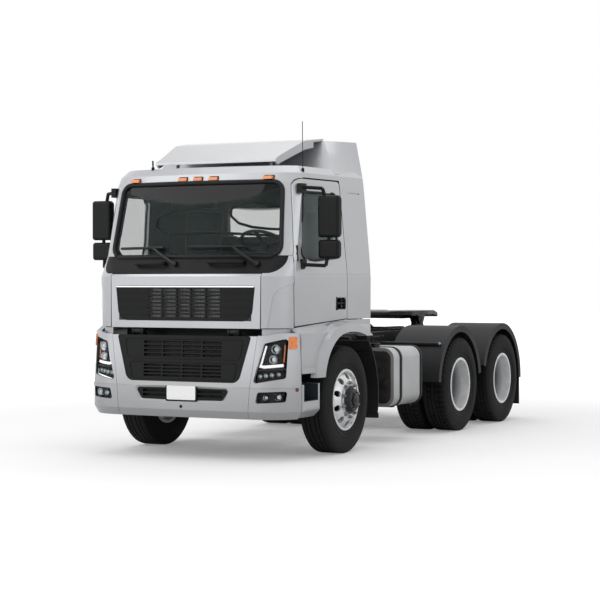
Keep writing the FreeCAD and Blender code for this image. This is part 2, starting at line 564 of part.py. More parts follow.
def steering_gear():
    beam = prism(((-845, 470, 20), (-640, 400, 60), (640, 400, 60), (845, 470, 20), (845, 560, 20),
                  (600, 470, 80), (-600, 470, 80), (-845, 560, 20)), "Y", -50, 50)
    for y in ((-51, -18), (18, 51)):
        beam = beam.cut(prism(((-760, 472, 10), (-640, 425, 20), (640, 425, 20), (760, 472, 10),
                               (760, 500, 10), (610, 447, 20), (-610, 447, 20), (-760, 500, 10)), "Y", *y))
    eyes = [rod((x, 0, 447), (x, 0, 597), 58) for x in (-KINGPIN_X, KINGPIN_X)]
    pads = [box((x - 65, x + 65), (-75, 75), (465, 492)) for x in (-380, 380)]
    bores = [rod((x, 0, 300), (x, 0, 700), 24 + RUNNING) for x in (-KINGPIN_X, KINGPIN_X)]
    save("front_axle", fused(beam, *eyes, *pads).cut(Part.makeCompound(bores)))

    lugs = [rod((KINGPIN_X, 0, z), (KINGPIN_X, 0, z + 42), 55) for z in (397, 605)]
    pin = rod((KINGPIN_X, 0, 405), (KINGPIN_X, 0, 640), 24)
    web = box((KINGPIN_X, KINGPIN_X + 84), (-55, 55), (397, 439))
    top = box((KINGPIN_X, KINGPIN_X + 84), (-55, 55), (605, 647))
    plate = box((KINGPIN_X + 64, KINGPIN_X + 84), (-75, 75), (397, 647))
    spindle = rod((KINGPIN_X + 80, 0, AXLE_Z), (1115, 0, AXLE_Z), FRONT_SPINDLE)
    arm = prism(((KINGPIN_X - 26, 0), (KINGPIN_X - 22, ARM_BACK + 24, 20),
                 (KINGPIN_X + 22, ARM_BACK + 24, 20), (KINGPIN_X + 26, 0)), "Z", ARM_Z - 13, ARM_Z + 15)
    knuckle = fused(*lugs, pin, web, top, plate, spindle, arm)
    knuckle = knuckle.cut(rod((KINGPIN_X, ARM_BACK, 380), (KINGPIN_X, ARM_BACK, 440), 11 + RUNNING))
    save("knuckle_left", knuckle)
    save("knuckle_right", flipped(knuckle))

    low = ARM_Z - 52
    ends = []
    for x in (-KINGPIN_X, KINGPIN_X):
        ends.append(rod((x, ARM_BACK, low), (x, ARM_BACK, ARM_Z - 15), 24))
        ends.append(rod((x, ARM_BACK, low), (x, ARM_BACK, ARM_Z + 22), 11))
    bar = rod((-KINGPIN_X, ARM_BACK, low + 18), (KINGPIN_X, ARM_BACK, low + 18), 17)
    save("tie_rod", fused(bar, *ends))


# ---- frame, axles and springs ------------------------------------------------------
def frame():
    web_z = (RAIL_BOTTOM, RAIL_TOP)
    front, end = -1060.0, FRAME_END
    rail = box((RAIL_X - RAIL_FLANGE, RAIL_X), (front, end), web_z)
    rail = rail.cut(box((RAIL_X - RAIL_FLANGE - 1, RAIL_X - RAIL_WALL), (front - 1, end + 1),
                        (web_z[0] + RAIL_WALL, web_z[1] - RAIL_WALL)))
    rails = [rail, flipped(rail)]
    reach = RAIL_X - RAIL_WALL
    cross = []
    # y of the crossmember, its length along the truck, its height band
    for y, length, low, high in ((front, 60, 850, 1090), (1750, 80, 900, 1080),
                                 (WHEELBASE - 510, 80, 930, 1080), (COUPLING_Y, 160, 880, 1080),
                                 (FRAME_END - 189, 60, 860, 1090)):
        bar = box((-reach, reach), (y, y + length), (low, high))
        bar = bar.cut(box((-reach + 30, reach - 30), (y + 10, y + length + 1), (low + 10, high - 10)))
        cross.append(bar)
    towers = []
    pivot_y, pivot_z = TILT_PIVOT
    for x in (462, 562):
        plate = prism(((-1060, 1060), (pivot_y - TILT_BOSS + 6, pivot_z - 24), (pivot_y - 20, pivot_z + 22),
                       (pivot_y + 22, pivot_z + 20), (pivot_y + 90, 1130, 60), (-960, 1060)), "X", x, x + 16)
        boss = rod((x, pivot_y, pivot_z), (x + 16, pivot_y, pivot_z), TILT_BOSS)
        towers += [plate, boss, flipped(plate), flipped(boss)]
    feet = box((RAIL_X - 5, 578), (-1058, -960), (1060, 1085))
    pin = rod((455, pivot_y, pivot_z), (585, pivot_y, pivot_z), TILT_PIN)
    towers += [feet, flipped(feet), pin, flipped(pin)]
    save("chassis_frame", fused(*rails, *cross, *towers, *end_beams(), *tank_cradles()))


def end_beams():
    """The beam behind the bumper skins and the crossbar that carries the rear lamps."""
    behind = form(BUMPER_SECTIONS, BUMPER_WALL)
    beam = behind.cut(form(BUMPER_SECTIONS, BUMPER_WALL + 60)).common(zone((480, 550), (-1400, -985)))
    pieces = [beam]
    for x in (-410, 350):
        pieces.append(box((x, x + 60), (-1160, -1000), (500, RAIL_BOTTOM + 20)).common(behind))
        pieces.append(box((x, x + 60), (REAR_BAR_Y - 40, REAR_BAR_Y), (740, RAIL_BOTTOM + 20)))
    pieces.append(box((-590, 590), (REAR_BAR_Y - 40, REAR_BAR_Y), (660, 770)))
    return pieces


def tank_cradles():
    tank = tank_solid()
    low = TANK_Z[0]
    cradles = []
    for y in (TANK_Y[0] + 170, TANK_Y[1] - 130):
        cradle = prism(((RAIL_X - 5, 1085), (562, 1085), (562, low + 100), (640, low + 4), (1060, low + 4),
                        (1060, low - 16), (600, low - 16), (528, low + 70), (528, 830), (RAIL_X - 5, 880)),
                       "Y", y, y + 60)
        cradles.append(main_solid(cradle.cut(tank)))
    return cradles


def leaf_pack(x, y0, y1, z_end, z_middle, thickness, width):
    """A parabolic pack between two ends, drawn as an arc of even thickness."""
    middle = (y0 + y1) / 2
    low = [V(0, y0, z_end), V(0, middle, z_middle), V(0, y1, z_end)]
    high = [p + V(0, 0, thickness) for p in low]
    wire = Part.Wire([Part.Arc(*low).toShape(), Part.makeLine(low[2], high[2]),
                      Part.Arc(*reversed(high)).toShape(), Part.makeLine(high[0], low[0])])
    solid = Part.Face(wire).extrude(V(width, 0, 0))
    solid.translate(V(x - width / 2, 0, 0))
    return solid


def springs():
    front = fused(leaf_pack(380, -760, 760, 640, 492, 28, 90), leaf_pack(380, -760, 760, 678, 530, 28, 90))
    rolls = [rod((335, y, 673), (425, y, 673), 40) for y in (-760, 760)]
    hangers = [box((345, 415), (y - 30, y + 30), (690, RAIL_BOTTOM)) for y in (-760, 760)]
    clips = [box((328, 432), (y - 12, y + 12), (492, 572)) for y in (-60, 60)]
    front = fused(front, *rolls, *hangers, *clips)
    middle = sum(DRIVE_AXLES) / 2
    rear = []
    # how much shorter than the lowest leaf at each end, how far above it
    for short, rise in ((0, 0), (60, 38), (130, 76)):
        y0, y1 = DRIVE_AXLES[0] - 40 + short, DRIVE_AXLES[1] + 40 - short
        rear.append(leaf_pack(492, y0, y1, AXLE_Z + 104 + rise, 690 + rise, 30, 96))
    saddle = box((438, 546), (middle - 110, middle + 110), (640, 695))
    hanger = prism(((middle - 190, RAIL_BOTTOM + 120), (middle - 110, 560, 60), (middle + 110, 560, 60),
                    (middle + 190, RAIL_BOTTOM + 120)), "X", RAIL_X, RAIL_X + 18)
    pin = rod((RAIL_X, middle, 620), (560, middle, 620), 45)
    clips = [box((436, 548), (y - 15, y + 15), (690, 800)) for y in (middle - 80, middle + 80)]
    ties = [box((438, 546), (y - 14, y + 14), (AXLE_Z + 112, AXLE_Z + 212))
            for y in (DRIVE_AXLES[0] + 150, DRIVE_AXLES[1] - 150)]
    rear = fused(*rear, saddle, hanger, pin, *clips, *ties)
    save("springs", front, flipped(front), rear, flipped(rear))


AXLE_BALL = 215.0            # half the depth of the housing round the final drive
AXLE_NOSE = 330.0            # axle centre to the flange of its input shaft


def drive_axles():
    flange = OUTER_WHEEL_X - DISC_OFFSET - 165
    tip = OUTER_WHEEL_X - DISC_OFFSET + 93
    half = turned(((0, 0), (0, AXLE_BALL), (110, 208), (170, 160), (235, 92), (flange - 25, 84),
                   (flange - 25, 120), (flange, 120), (flange, REAR_SPINDLE), (tip, REAR_SPINDLE),
                   (tip, 0)))
    axles = []
    for y in DRIVE_AXLES:
        house = fused(half, flipped(half))
        nose = Part.makeCone(135, 80, AXLE_NOSE, V(0, 0, 0), V(0, -1, 0))
        pad = box((438, 546), (-70, 70), (60, 104))
        axles.append(moved(fused(house, nose, pad, flipped(pad)), y=y, z=AXLE_Z))
    save("drive_axles", *axles)


def driveline():
    block = prism(((-230, 600, 60), (-290, 800, 40), (-290, 1180, 60), (-200, 1330, 50), (200, 1330, 50),
                   (290, 1180, 60), (290, 800, 40), (230, 600, 60)), "Y", -640, 400)
    mounts = [box((x, x + 155), (y, y + 90), (RAIL_BOTTOM + RAIL_WALL, 930))
              for x in (-RAIL_X + RAIL_WALL, RAIL_X - RAIL_WALL - 155) for y in (-430, 240)]
    save("engine", fused(block, *mounts))
    bell = Part.makeCone(250, 190, 260, V(0, 400, 900), V(0, 1, 0))
    case = box((-190, 190), (655, 1330), (740, 1080))
    case = case.makeFillet(40, [e for e in case.Edges if e.BoundBox.YLength > 100])
    nose = Part.makeCylinder(90, 120, V(0, 1320, 900), V(0, 1, 0))
    first = DRIVE_AXLES[0] - AXLE_NOSE - 24
    shaft = rod((0, 1430, 900), (0, first, AXLE_Z), 52)
    flange = rod((0, first - 12, AXLE_Z), (0, first + 24, AXLE_Z), 72)
    between = rod((0, DRIVE_AXLES[0] + AXLE_BALL, AXLE_Z), (0, DRIVE_AXLES[1] - AXLE_NOSE, AXLE_Z), 52)
    save("transmission", fused(bell, case, nose, shaft, flange), between)
    core = box((-332, 332), (-900, -810), (560, 1170))
    fan = Part.makeCylinder(290, 70, V(0, -815, 860), V(0, 1, 0))
    seal = box((-790, 790), (-918, -900), (RAIL_TOP, CAB_FLOOR_Z - 13))
    save("radiator", fused(core, fan, seal))


# ---- bumper, grille, lamps and steps -----------------------------------------------
LOWER_GRILLE = ((-606, 732, 90), (-728, 1166, 20), (728, 1166, 20), (606, 732, 90))
LOW_INTAKE = ((-440, 562, 30), (-512, 672, 25), (512, 672, 25), (440, 562, 30))
HEADLAMP = ((748, 728, 25), (852, 1100, 25), (1046, 1148, 25), (1040, 780, 25))
FOG_LAMP = ((775, 548, 20), (800, 652, 20), (1052, 662, 20), (1040, 562, 20))
CENTRE_SEAM = ((-690, 300), (-720, 690), (-800, 1250), (800, 1250), (720, 690), (690, 300))
BUMPER_WALL = 26.0
CREASE_Z = (687, 693)        # pressed line round the bumper


def bumper():
    """Bumper skins, lamps and grilles; the beam behind them belongs to the frame."""
    outer = form(BUMPER_SECTIONS)
    behind = form(BUMPER_SECTIONS, BUMPER_WALL)
    skinned = outer.cut(behind).common(zone((398, 1195), (-1400, -955)))
    holes = [prism(p, "Y", -1400, -900) for p in (LOWER_GRILLE, LOW_INTAKE)]
    crease = outer.cut(form(BUMPER_SECTIONS, 5)).common(zone(CREASE_Z))
    crease = crease.cut(prism(grown(LOW_INTAKE, 60), "Y", -1400, -900))
    skinned = skinned.cut(crease)
    centre = skinned.common(prism(CENTRE_SEAM, "Y", -1400, -1100)).common(zone((398, 1166)))
    mouth = [prism_wire(grown(LOW_INTAKE, by), "Y", y) for by, y in ((34, -1240), (0, -1212))]
    holes.append(Part.makeLoft(mouth, True, True))
    save("front_bumper", main_solid(centre.cut(Part.makeCompound(holes))))
    corner = skinned.cut(prism(grown(CENTRE_SEAM, PANEL_GAP), "Y", -1400, -1000))
    # the top edge is low inboard, so that the lid swings past it as the cab tilts
    corner = corner.common(prism(((600, 390), (600, 1172), (880, 1172), (990, 1200),
                                  (1300, 1200), (1300, 390)), "Y", -1400, -900))
    pockets = [prism(p, "Y", -1400, -900) for p in (HEADLAMP, FOG_LAMP)]
    corner = main_solid(corner.cut(Part.makeCompound(pockets)))
    # a shelf and an upright neck close the gap under the corner of the cab
    shelf = outer.cut(form(BUMPER_SECTIONS, 120)).common(zone((1158, 1170), (-1400, -955), (812, 1300)))
    neck = form(CAB_SECTIONS, 30).cut(form(CAB_SECTIONS, 50))
    neck = neck.common(zone((1160, CAB_FLOOR_Z - 13), (-1136, -955), (812, 1045)))
    save_pair("bumper_corners", main_solid(fused(corner, shelf, neck)))
    set_in = form(BUMPER_SECTIONS, 8)
    lamps = [set_in.cut(behind).common(pocket) for pocket in pockets]
    save("headlamps", lamps[0], flipped(lamps[0]), lamps[1], flipped(lamps[1]))
    windows = ((-430, 430, 960, 1120), (-430, 430, 770, 900))
    grille_panel = grille(LOWER_GRILLE, form(BUMPER_SECTIONS, 6), behind, windows, 4, 4)
    low = form(BUMPER_SECTIONS, 14).cut(behind)
    low = low.common(prism(LOW_INTAKE, "Y", -1400, -900))
    slots = [box((x, x + 270), (-1400, -900), (z, z + 26)) for x in (-430, 160) for z in (590, 630)]
    save("lower_grilles", grille_panel, low.cut(Part.makeCompound(slots)))


def entry_steps():
    """A painted housing behind each bumper corner, its foothold open outwards and above."""
    plan = ((800, -940), (1128, -940), (1146, -900), (1146, -572, 45),
            (1040, -572), (1000, -612), (800, -612))
    section = ((800, 398), (1060, 398, 40), (1146, 480, 60), (1146, 716), (800, 716))
    housing = prism(plan, "Z", 398, 716).common(prism(section, "Y", -940, -572))
    pocket = prism(((955, -918, 20), (955, -640, 20), (1200, -640), (1200, -918)), "Z", 560, 760)
    stay = prism(((RAIL_X, 960), (RAIL_X, 860), (802, 620), (802, 716)), "Y", -900, -880)
    save_pair("entry_steps", fused(housing.cut(pocket), stay))


# ---- mudguards ---------------------------------------------------------------------
def arch(y, z, radius, start, end, thickness, x0, x1):
    """A curved guard over a wheel: part of a ring, angles in degrees from +Y, upwards."""
    def at(r, degrees):
        a = math.radians(degrees)
        return V(x0, y + r * math.cos(a), z + r * math.sin(a))
    middle = (start + end) / 2
    outer = Part.Arc(at(radius, start), at(radius, middle), at(radius, end)).toShape()
    inside = radius - thickness
    inner = Part.Arc(at(inside, end), at(inside, middle), at(inside, start)).toShape()
    wire = Part.Wire([outer, Part.makeLine(at(radius, end), at(inside, end)), inner,
                      Part.makeLine(at(inside, start), at(radius, start))])
    return Part.Face(wire).extrude(V(x1 - x0, 0, 0))


def mudguards():
    x0, x1, wall = 600.0, 1215.0, 12.0
    rear = []
    for number, y in enumerate(DRIVE_AXLES):
        begin, finish = ((9, 175), (-2, 164))[number]
        top = arch(y, AXLE_Z, 655, begin, finish, wall, x0, x1)
        brim = arch(y, AXLE_Z, 655, begin, finish, 70, x1 - wall, x1)
        rear.append([top, brim])
    back = DRIVE_AXLES[1] + 655
    rear[1].append(box((x0 + 20, x1 - 15), (back - 24, back - 12), (AXLE_Z - 347, AXLE_Z + 60)))
    guards = []
    for pieces, y in zip(rear, (DRIVE_AXLES[0] - 480, DRIVE_AXLES[1] + 470)):
        tube = rod((RAIL_X, y, AXLE_Z + 463), (x1 - 62, y, AXLE_Z + 463), 21)
        guards.append(fused(*pieces, tube))
    liner = arch(0, AXLE_Z, 772, -14, 47, 12, 640, 1140)
    flap = box((660, 1145), (745, 757), (AXLE_Z - 232, AXLE_Z - 180))
    lean = math.radians(35)
    stay_y = 766 * math.cos(lean)
    stay_z = AXLE_Z + 766 * math.sin(lean)
    stay = rod((RAIL_X, stay_y, stay_z), (1100, stay_y, stay_z), 18)
    front = fused(liner, flap, stay)
    save("mudguards", guards[0], flipped(guards[0]), guards[1], flipped(guards[1]), front, flipped(front))


# ---- what hangs on the frame -------------------------------------------------------
def tank_solid():
    low, high = TANK_Z
    shape = ((560, high, 60), (1150, high, 110), (1150, low, 110), (560, low, 60))
    return prism(shape, "Y", *TANK_Y)


def side_equipment():
    save("fuel_tank", tank_solid())
    case = prism(((-1150, 460, 40), (-1150, 960, 60), (-560, 980, 40), (-560, 460, 40)), "Y", 1120, 1560)
    hang = box((-RAIL_X - 150, -RAIL_X), (1200, 1480), (880, 960))
    save("battery_box", fused(case, hang))
    muffler = prism(((-1120, 440, 120), (-1120, 950, 120), (-600, 950, 120), (-600, 440, 120)),
                    "Y", 1620, 2090)
    link = box((-700, -RAIL_X), (1700, 1950), (850, 900))
    save("silencer", fused(muffler, link))
    tanks = []
    reach = RAIL_X - RAIL_WALL
    for x, low, high in ((230, 300, reach), (-230, -reach, -300)):
        vessel = rod((x, 1900, 930), (x, 2300, 930), 95)
        tanks.append(fused(vessel, *[box((low, high), (y, y + 40), (900, 960)) for y in (1960, 2200)]))
    save("air_tanks", *tanks)


def rear_lamps():
    lamps = [box((x, x + 280), (REAR_BAR_Y, FRAME_END), (665, 765)) for x in (-580, 300)]
    save("rear_lamps", *lamps)


# ---- fifth wheel -------------------------------------------------------------------
def fifth_wheel():
    base = box((-480, 480), (COUPLING_Y - 380, COUPLING_Y + 380), (RAIL_TOP, RAIL_TOP + 16))
    base = base.cut(box((-300, 300), (COUPLING_Y - 220, COUPLING_Y + 220), (RAIL_TOP - 1, RAIL_TOP + 20)))
    ears = []
    for x in (-430, 370):
        ears.append(prism(((COUPLING_Y - 150, RAIL_TOP + 10), (COUPLING_Y - 55, COUPLING_Z + 50, 50),
                           (COUPLING_Y + 55, COUPLING_Z + 50, 50), (COUPLING_Y + 150, RAIL_TOP + 10)),
                          "X", x, x + 60))
    pins = [rod((x, COUPLING_Y, COUPLING_Z), (x + 120, COUPLING_Y, COUPLING_Z), 26) for x in (-460, 340)]
    save("coupling_base", fused(base, *ears, *pins))

    top = PLATE_TOP
    plate = prism(((-470, -380, 120), (-230, -480, 60), (230, -480, 60), (470, -380, 120), (488, 120, 160),
                   (425, 600, 40), (240, 610, 20), (62, 150, 30), (-62, 150, 30), (-240, 610, 20),
                   (-425, 600, 40), (-488, 120, 160)), "Z", top - 90, top)
    # a flat table whose two rear ramps lean down to lead the trailer on
    side_view = prism(((-500, top - 45), (-470, top - 8), (-440, top), (390, top),
                       (620, top - 44), (620, top - 84), (390, top - 45)), "X", -600, 600)
    plate = plate.common(side_view)
    plate.translate(V(0, COUPLING_Y, 0))
    skirt = box((-330, 330), (COUPLING_Y - 260, COUPLING_Y + 120), (top - 90, top - 40))
    cheeks = []
    for x in (-456, -364, 344, 436):
        cheek = prism(((COUPLING_Y - 120, top - 40), (COUPLING_Y - 40, COUPLING_Z - 40, 36),
                       (COUPLING_Y + 40, COUPLING_Z - 40, 36), (COUPLING_Y + 120, top - 40)), "X", x, x + 20)
        cheeks.append(cheek)
    whole = fused(plate, skirt, *cheeks)
    lock = rod((0, COUPLING_Y + 60, top - 100), (0, COUPLING_Y + 60, top + 10), 26)
    throat = prism(((-26, COUPLING_Y + 60), (26, COUPLING_Y + 60),
                    (70, COUPLING_Y + 400), (-70, COUPLING_Y + 400)), "Z", top - 100, top + 10)
    bores = rod((-700, COUPLING_Y, COUPLING_Z), (700, COUPLING_Y, COUPLING_Z), 26 + RUNNING)
    save("fifth_wheel", whole.cut(fused(lock, throat)).cut(bores))


os.makedirs("parts", exist_ok=True)
cab_pieces()
wings()
roof_fairing()
roof_small_pieces()
mirrors()
cab_inside()
front_wheels()
drive_wheels()
steering_gear()
frame()
springs()
drive_axles()
driveline()
bumper()
entry_steps()
mudguards()
side_equipment()
rear_lamps()
fifth_wheel()
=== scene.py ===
"""Tractor unit of a semi truck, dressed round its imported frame.

Metres, +Z up, the cab faces -Y and the driver's side is +X. The sections run from the
studio over the cab, its front, doors, steps and roof to wheels, chassis and cab inside.
"""
import math

import bmesh
import bpy
from mathutils import Matrix, Vector
from mathutils.bvhtree import BVHTree


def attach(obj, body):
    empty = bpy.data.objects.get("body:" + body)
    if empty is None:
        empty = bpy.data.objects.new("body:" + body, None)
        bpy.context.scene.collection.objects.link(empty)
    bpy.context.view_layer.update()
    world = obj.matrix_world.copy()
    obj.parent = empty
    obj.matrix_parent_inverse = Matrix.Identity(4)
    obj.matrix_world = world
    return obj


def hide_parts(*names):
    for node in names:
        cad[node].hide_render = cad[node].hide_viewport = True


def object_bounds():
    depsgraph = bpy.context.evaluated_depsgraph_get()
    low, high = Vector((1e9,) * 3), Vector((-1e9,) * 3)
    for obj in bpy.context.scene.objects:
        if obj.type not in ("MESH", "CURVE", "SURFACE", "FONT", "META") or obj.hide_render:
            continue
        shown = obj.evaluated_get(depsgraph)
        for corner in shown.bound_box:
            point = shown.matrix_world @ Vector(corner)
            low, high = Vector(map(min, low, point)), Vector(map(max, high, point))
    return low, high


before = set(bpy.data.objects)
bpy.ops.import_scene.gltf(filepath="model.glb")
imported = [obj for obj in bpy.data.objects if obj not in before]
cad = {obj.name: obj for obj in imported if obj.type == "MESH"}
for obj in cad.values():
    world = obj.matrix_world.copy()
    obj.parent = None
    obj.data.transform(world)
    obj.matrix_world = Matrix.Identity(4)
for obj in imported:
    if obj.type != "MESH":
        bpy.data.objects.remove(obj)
cad_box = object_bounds()
scene = bpy.context.scene
SIDES = (("left", 1), ("right", -1))


# ---- Studio ------------------------------------------------------------------------
# A pale sweep of floor under a white surround, lit by the surround and three large
# soft lamps: a key ahead on the passenger's side, a weaker fill and a top light.
def linear(code):
    """The linear colour of an sRGB hex value."""
    parts = [int(code[i:i + 2], 16) / 255 for i in (0, 2, 4)]
    return [c / 12.92 if c <= 0.04045 else ((c + 0.055) / 1.055) ** 2.4 for c in parts] + [1.0]


def add(tree, kind, inputs=None):
    """Adds a node: what is a node or a socket gets linked, any other value is set."""
    node = tree.nodes.new("ShaderNode" + kind)
    for key, value in (inputs or {}).items():
        source = value.outputs[0] if isinstance(value, bpy.types.Node) else value
        if isinstance(source, bpy.types.NodeSocket):
            tree.links.new(source, node.inputs[key])
        elif isinstance(key, int) or key in node.inputs:
            node.inputs[key].default_value = value
        else:
            setattr(node, key, value)
    return node


def tinted(tree, shader, share, colour):
    """Draws the colour so far towards another, by the share that a node gives."""
    so_far = shader.inputs["Base Color"].links[0].from_socket
    mix = add(tree, "Mix", {"data_type": "RGBA", 0: share, 6: so_far, 7: linear(colour)})
    tree.links.new(mix.outputs[2], shader.inputs["Base Color"])


def raised(tree, shader, pattern, strength, depth_mm):
    """Raises a pattern by bump."""
    bump = add(tree, "Bump", {"Strength": strength, "Distance": depth_mm / 1000, "Height": pattern})
    tree.links.new(bump.outputs[0], shader.inputs["Normal"])


def part(tree, vector, axis, size=False):
    """One coordinate of a vector, or its size without the sign."""
    value = add(tree, "SeparateXYZ", {0: vector}).outputs[axis]
    return add(tree, "Math", {"operation": "ABSOLUTE", 0: value}).outputs[0] if size else value


def surface(name, settings, tones, dirt_and_shade=None, rough=None, grain=None):
    """A Principled material, given back with its node tree, shader and coordinates.

    tones: one colour, or two near ones to drift between, the patch size in mm and perhaps
    its detail; dirt_and_shade: the colour the surface darkens towards low down (dust, and on
    the cab's silver paint also painted shade), the heights where it starts and ends, its most;
    rough: low and high roughness over the patches; grain: size in mm, depth in mm and strength.
    """
    material = bpy.data.materials.new(name)
    material.use_nodes = True
    tree = material.node_tree
    shader = tree.nodes["Principled BSDF"]
    for socket, value in settings.items():
        shader.inputs[socket].default_value = value
    where = add(tree, "TexCoord").outputs["Object"]
    if isinstance(tones, str):
        shader.inputs["Base Color"].default_value = linear(tones)
    elif tones:
        first, second, patch_mm, detail = (*tones, 4.0)[:4]
        cloud = add(tree, "TexNoise", {"Scale": 1000 / patch_mm, "Detail": detail, "Vector": where})
        spread = add(tree, "MapRange", {"From Min": 0.3, "From Max": 0.7, "Value": cloud})
        tone = add(tree, "Mix", {"data_type": "RGBA", 0: spread, 6: linear(first), 7: linear(second)})
        tree.links.new(tone.outputs[2], shader.inputs["Base Color"])
    if dirt_and_shade:
        dust_and_shade_colour, tint_start_z, tint_full_z, most = dirt_and_shade
        low = add(tree, "MapRange", {"From Min": tint_start_z, "From Max": tint_full_z, "To Max": most,
                                     "Value": part(tree, where, "Z")})
        tinted(tree, shader, low, dust_and_shade_colour)
    if rough:
        gloss = add(tree, "MapRange", {"To Min": rough[0], "To Max": rough[1], "Value": spread})
        tree.links.new(gloss.outputs[0], shader.inputs["Roughness"])
    if grain:
        grain_mm, depth_mm, strength = grain
        grit = add(tree, "TexNoise", {"Scale": 1000 / grain_mm, "Detail": 3.0, "Vector": where})
        raised(tree, shader, grit, strength, depth_mm)
    return material, tree, shader, where


scene.view_settings.view_transform = "Standard"

sky = bpy.data.worlds.new("white_surround")
scene.world = sky
sky.use_nodes = True
tree = sky.node_tree
path = add(tree, "LightPath")
glossy = add(tree, "Math", {"operation": "MAXIMUM", 0: path.outputs["Is Camera Ray"],
                            1: path.outputs["Is Glossy Ray"]})
shown = add(tree, "Math", {"operation": "MAXIMUM", 0: glossy, 1: path.outputs["Is Transmission Ray"]})
level = add(tree, "MapRange", {"To Min": 0.62, "To Max": 1.0, "Value": shown})
tree.links.new(level.outputs[0], tree.nodes["Background"].inputs["Strength"])
tree.nodes["Background"].inputs["Color"].default_value = linear("FFFFFF")

floor_paint, tree, shader, where = surface(
    "pale_studio_floor", {"Roughness": 0.9, "Emission Color": linear("FFFFFF")}, "E6E6E6")
path = add(tree, "LightPath")
away = add(tree, "VectorMath", {"operation": "LENGTH", 0: where})
sweep = add(tree, "MapRange", {"From Min": 4.0, "From Max": 13.0, "To Min": 0.2, "To Max": 0.8,
                               "interpolation_type": "SMOOTHSTEP", "Value": away.outputs["Value"]})
lift = add(tree, "Math", {"operation": "MULTIPLY", 0: path.outputs["Is Camera Ray"], 1: sweep})
tree.links.new(lift.outputs[0], shader.inputs["Emission Strength"])
bm = bmesh.new()
bmesh.ops.create_grid(bm, x_segments=2, y_segments=2, size=70.0)
mesh = bpy.data.meshes.new("studio_floor")
bm.to_mesh(mesh)
bm.free()
mesh.materials.append(floor_paint)
studio_floor = bpy.data.objects.new("studio_floor", mesh)
scene.collection.objects.link(studio_floor)

# name, place, what it points at, size, watts
for name, place, target, size, power in (
        ("key_lamp", (-8.0, -14.0, 8.8), (0, -2.0, 1.2), 14.0, 1100.0),
        ("fill_lamp", (12.0, -5.0, 6.0), (0, 0, 1.2), 7.0, 190.0),
        ("top_lamp", (0, 1.0, 10.0), (0, 0, 1.0), 9.0, 270.0)):
    light = bpy.data.lights.new(name, "AREA")
    light.size = size
    light.energy = power
    lamp = bpy.data.objects.new(name, light)
    lamp.location = place
    lamp.rotation_euler = (Vector(target) - Vector(place)).to_track_quat("-Z", "Y").to_euler()
    scene.collection.objects.link(lamp)

eye = bpy.data.cameras.new("camera")
eye.lens = 102.0
eye.sensor_width = 36.0
camera = bpy.data.objects.new("camera", eye)
camera.location = (8.148, -16.808, 1.671)
camera.rotation_euler = (math.radians(89.38), 0, math.radians(26.64))
scene.collection.objects.link(camera)
scene.camera = camera


# ---- Cab shell ---------------------------------------------------------------------
# Pressed steel panels in two-coat silver: a metallic base under clear lacquer. Each
# panel is its own CAD piece; the lacquer shows faint orange peel, and the paint darkens
# low down, partly as road film and partly as painted shade.
def finish(material, *names):
    """Gives CAD pieces their finish."""
    for name in names:
        cad[name].data.materials.clear()
        cad[name].data.materials.append(material)


def between(tree, value, low, high):
    """1 where a value lies between two bounds."""
    over = add(tree, "Math", {"operation": "GREATER_THAN", 0: value, 1: low})
    under = add(tree, "Math", {"operation": "LESS_THAN", 0: value, 1: high})
    return add(tree, "Math", {"operation": "MULTIPLY", 0: over, 1: under})


def within(tree, where, x_most, z_low, z_high):
    """1 inside a band of heights, out to a distance from the middle plane."""
    middle = add(tree, "Math", {"operation": "LESS_THAN", 0: part(tree, where, "X", True), 1: x_most})
    band = between(tree, part(tree, where, "Z"), z_low, z_high)
    return add(tree, "Math", {"operation": "MULTIPLY", 0: middle, 1: band})


def silver(name, lined=False, shade_band=None):
    """Two-coat silver; a lined panel is dark where it looks into the cab, and a given band is darkened as
    painted shade.
    """
    # darker from 1.0 m down to 0.3 m: partly road film, partly painted shade where no light comes up from
    # below
    material, tree, shader, where = surface(
        name, {"Metallic": 0.45, "Coat Weight": 0.5, "Coat Roughness": 0.06},
        ("B1B3B6", "B8BABD", 900), ("55534F", 1.0, 0.3, 0.5), (0.33, 0.40),
        grain=(14, 0.02, 0.3))                      # orange peel
    if not shade_band:
        return material
    dark = within(tree, where, *shade_band)
    if lined:
        facing = add(tree, "TexCoord").outputs["Normal"]
        out = add(tree, "VectorMath", {"operation": "SUBTRACT", 0: where, 1: CAB_MIDDLE})
        turned = add(tree, "VectorMath", {"operation": "DOT_PRODUCT", 0: out, 1: facing})
        inside = add(tree, "Math", {"operation": "LESS_THAN", 0: turned.outputs["Value"], 1: 0.0})
        dark = add(tree, "Math", {"operation": "MAXIMUM", 0: inside, 1: dark})
    # dark grey inside the cab is the trim's own colour; in the band the dark is painted shade
    tinted(tree, shader, dark, "303234" if lined else "0A0A0B")
    for socket in ("Metallic", "Coat Weight"):
        level = add(tree, "MapRange", {"To Min": shader.inputs[socket].default_value, "To Max": 0.0,
                                       "Value": dark})
        tree.links.new(level.outputs[0], shader.inputs[socket])
    return material


CAB_MIDDLE = (0.0, -1.85, 1.95)
finish(silver("two_coat_silver_paint"), "cowl_panels", "front_wings", "roof_fairing", "front_bumper",
       "bumper_corners")
# painted shade darkens the cab's front in the gap under the hatch, and the hatch behind its grille
finish(silver("silver_paint_on_lined_panel_with_painted_shade", True, (0.812, 0.0, 1.236)), "cab_front", "cab_roof",
       "cab_side_panels", "cab_rear_wall", "door_left", "door_right")
finish(silver("silver_paint_on_hatch_with_painted_shade", False, (0.72, 1.305, 1.63)), "front_hatch")

floor_coating = surface("black_underbody_coating", {"Roughness": 0.7}, ("101012", "1B1A19", 180),
                        grain=(5, 0.3, 0.5))[0]
finish(floor_coating, "cab_floor")


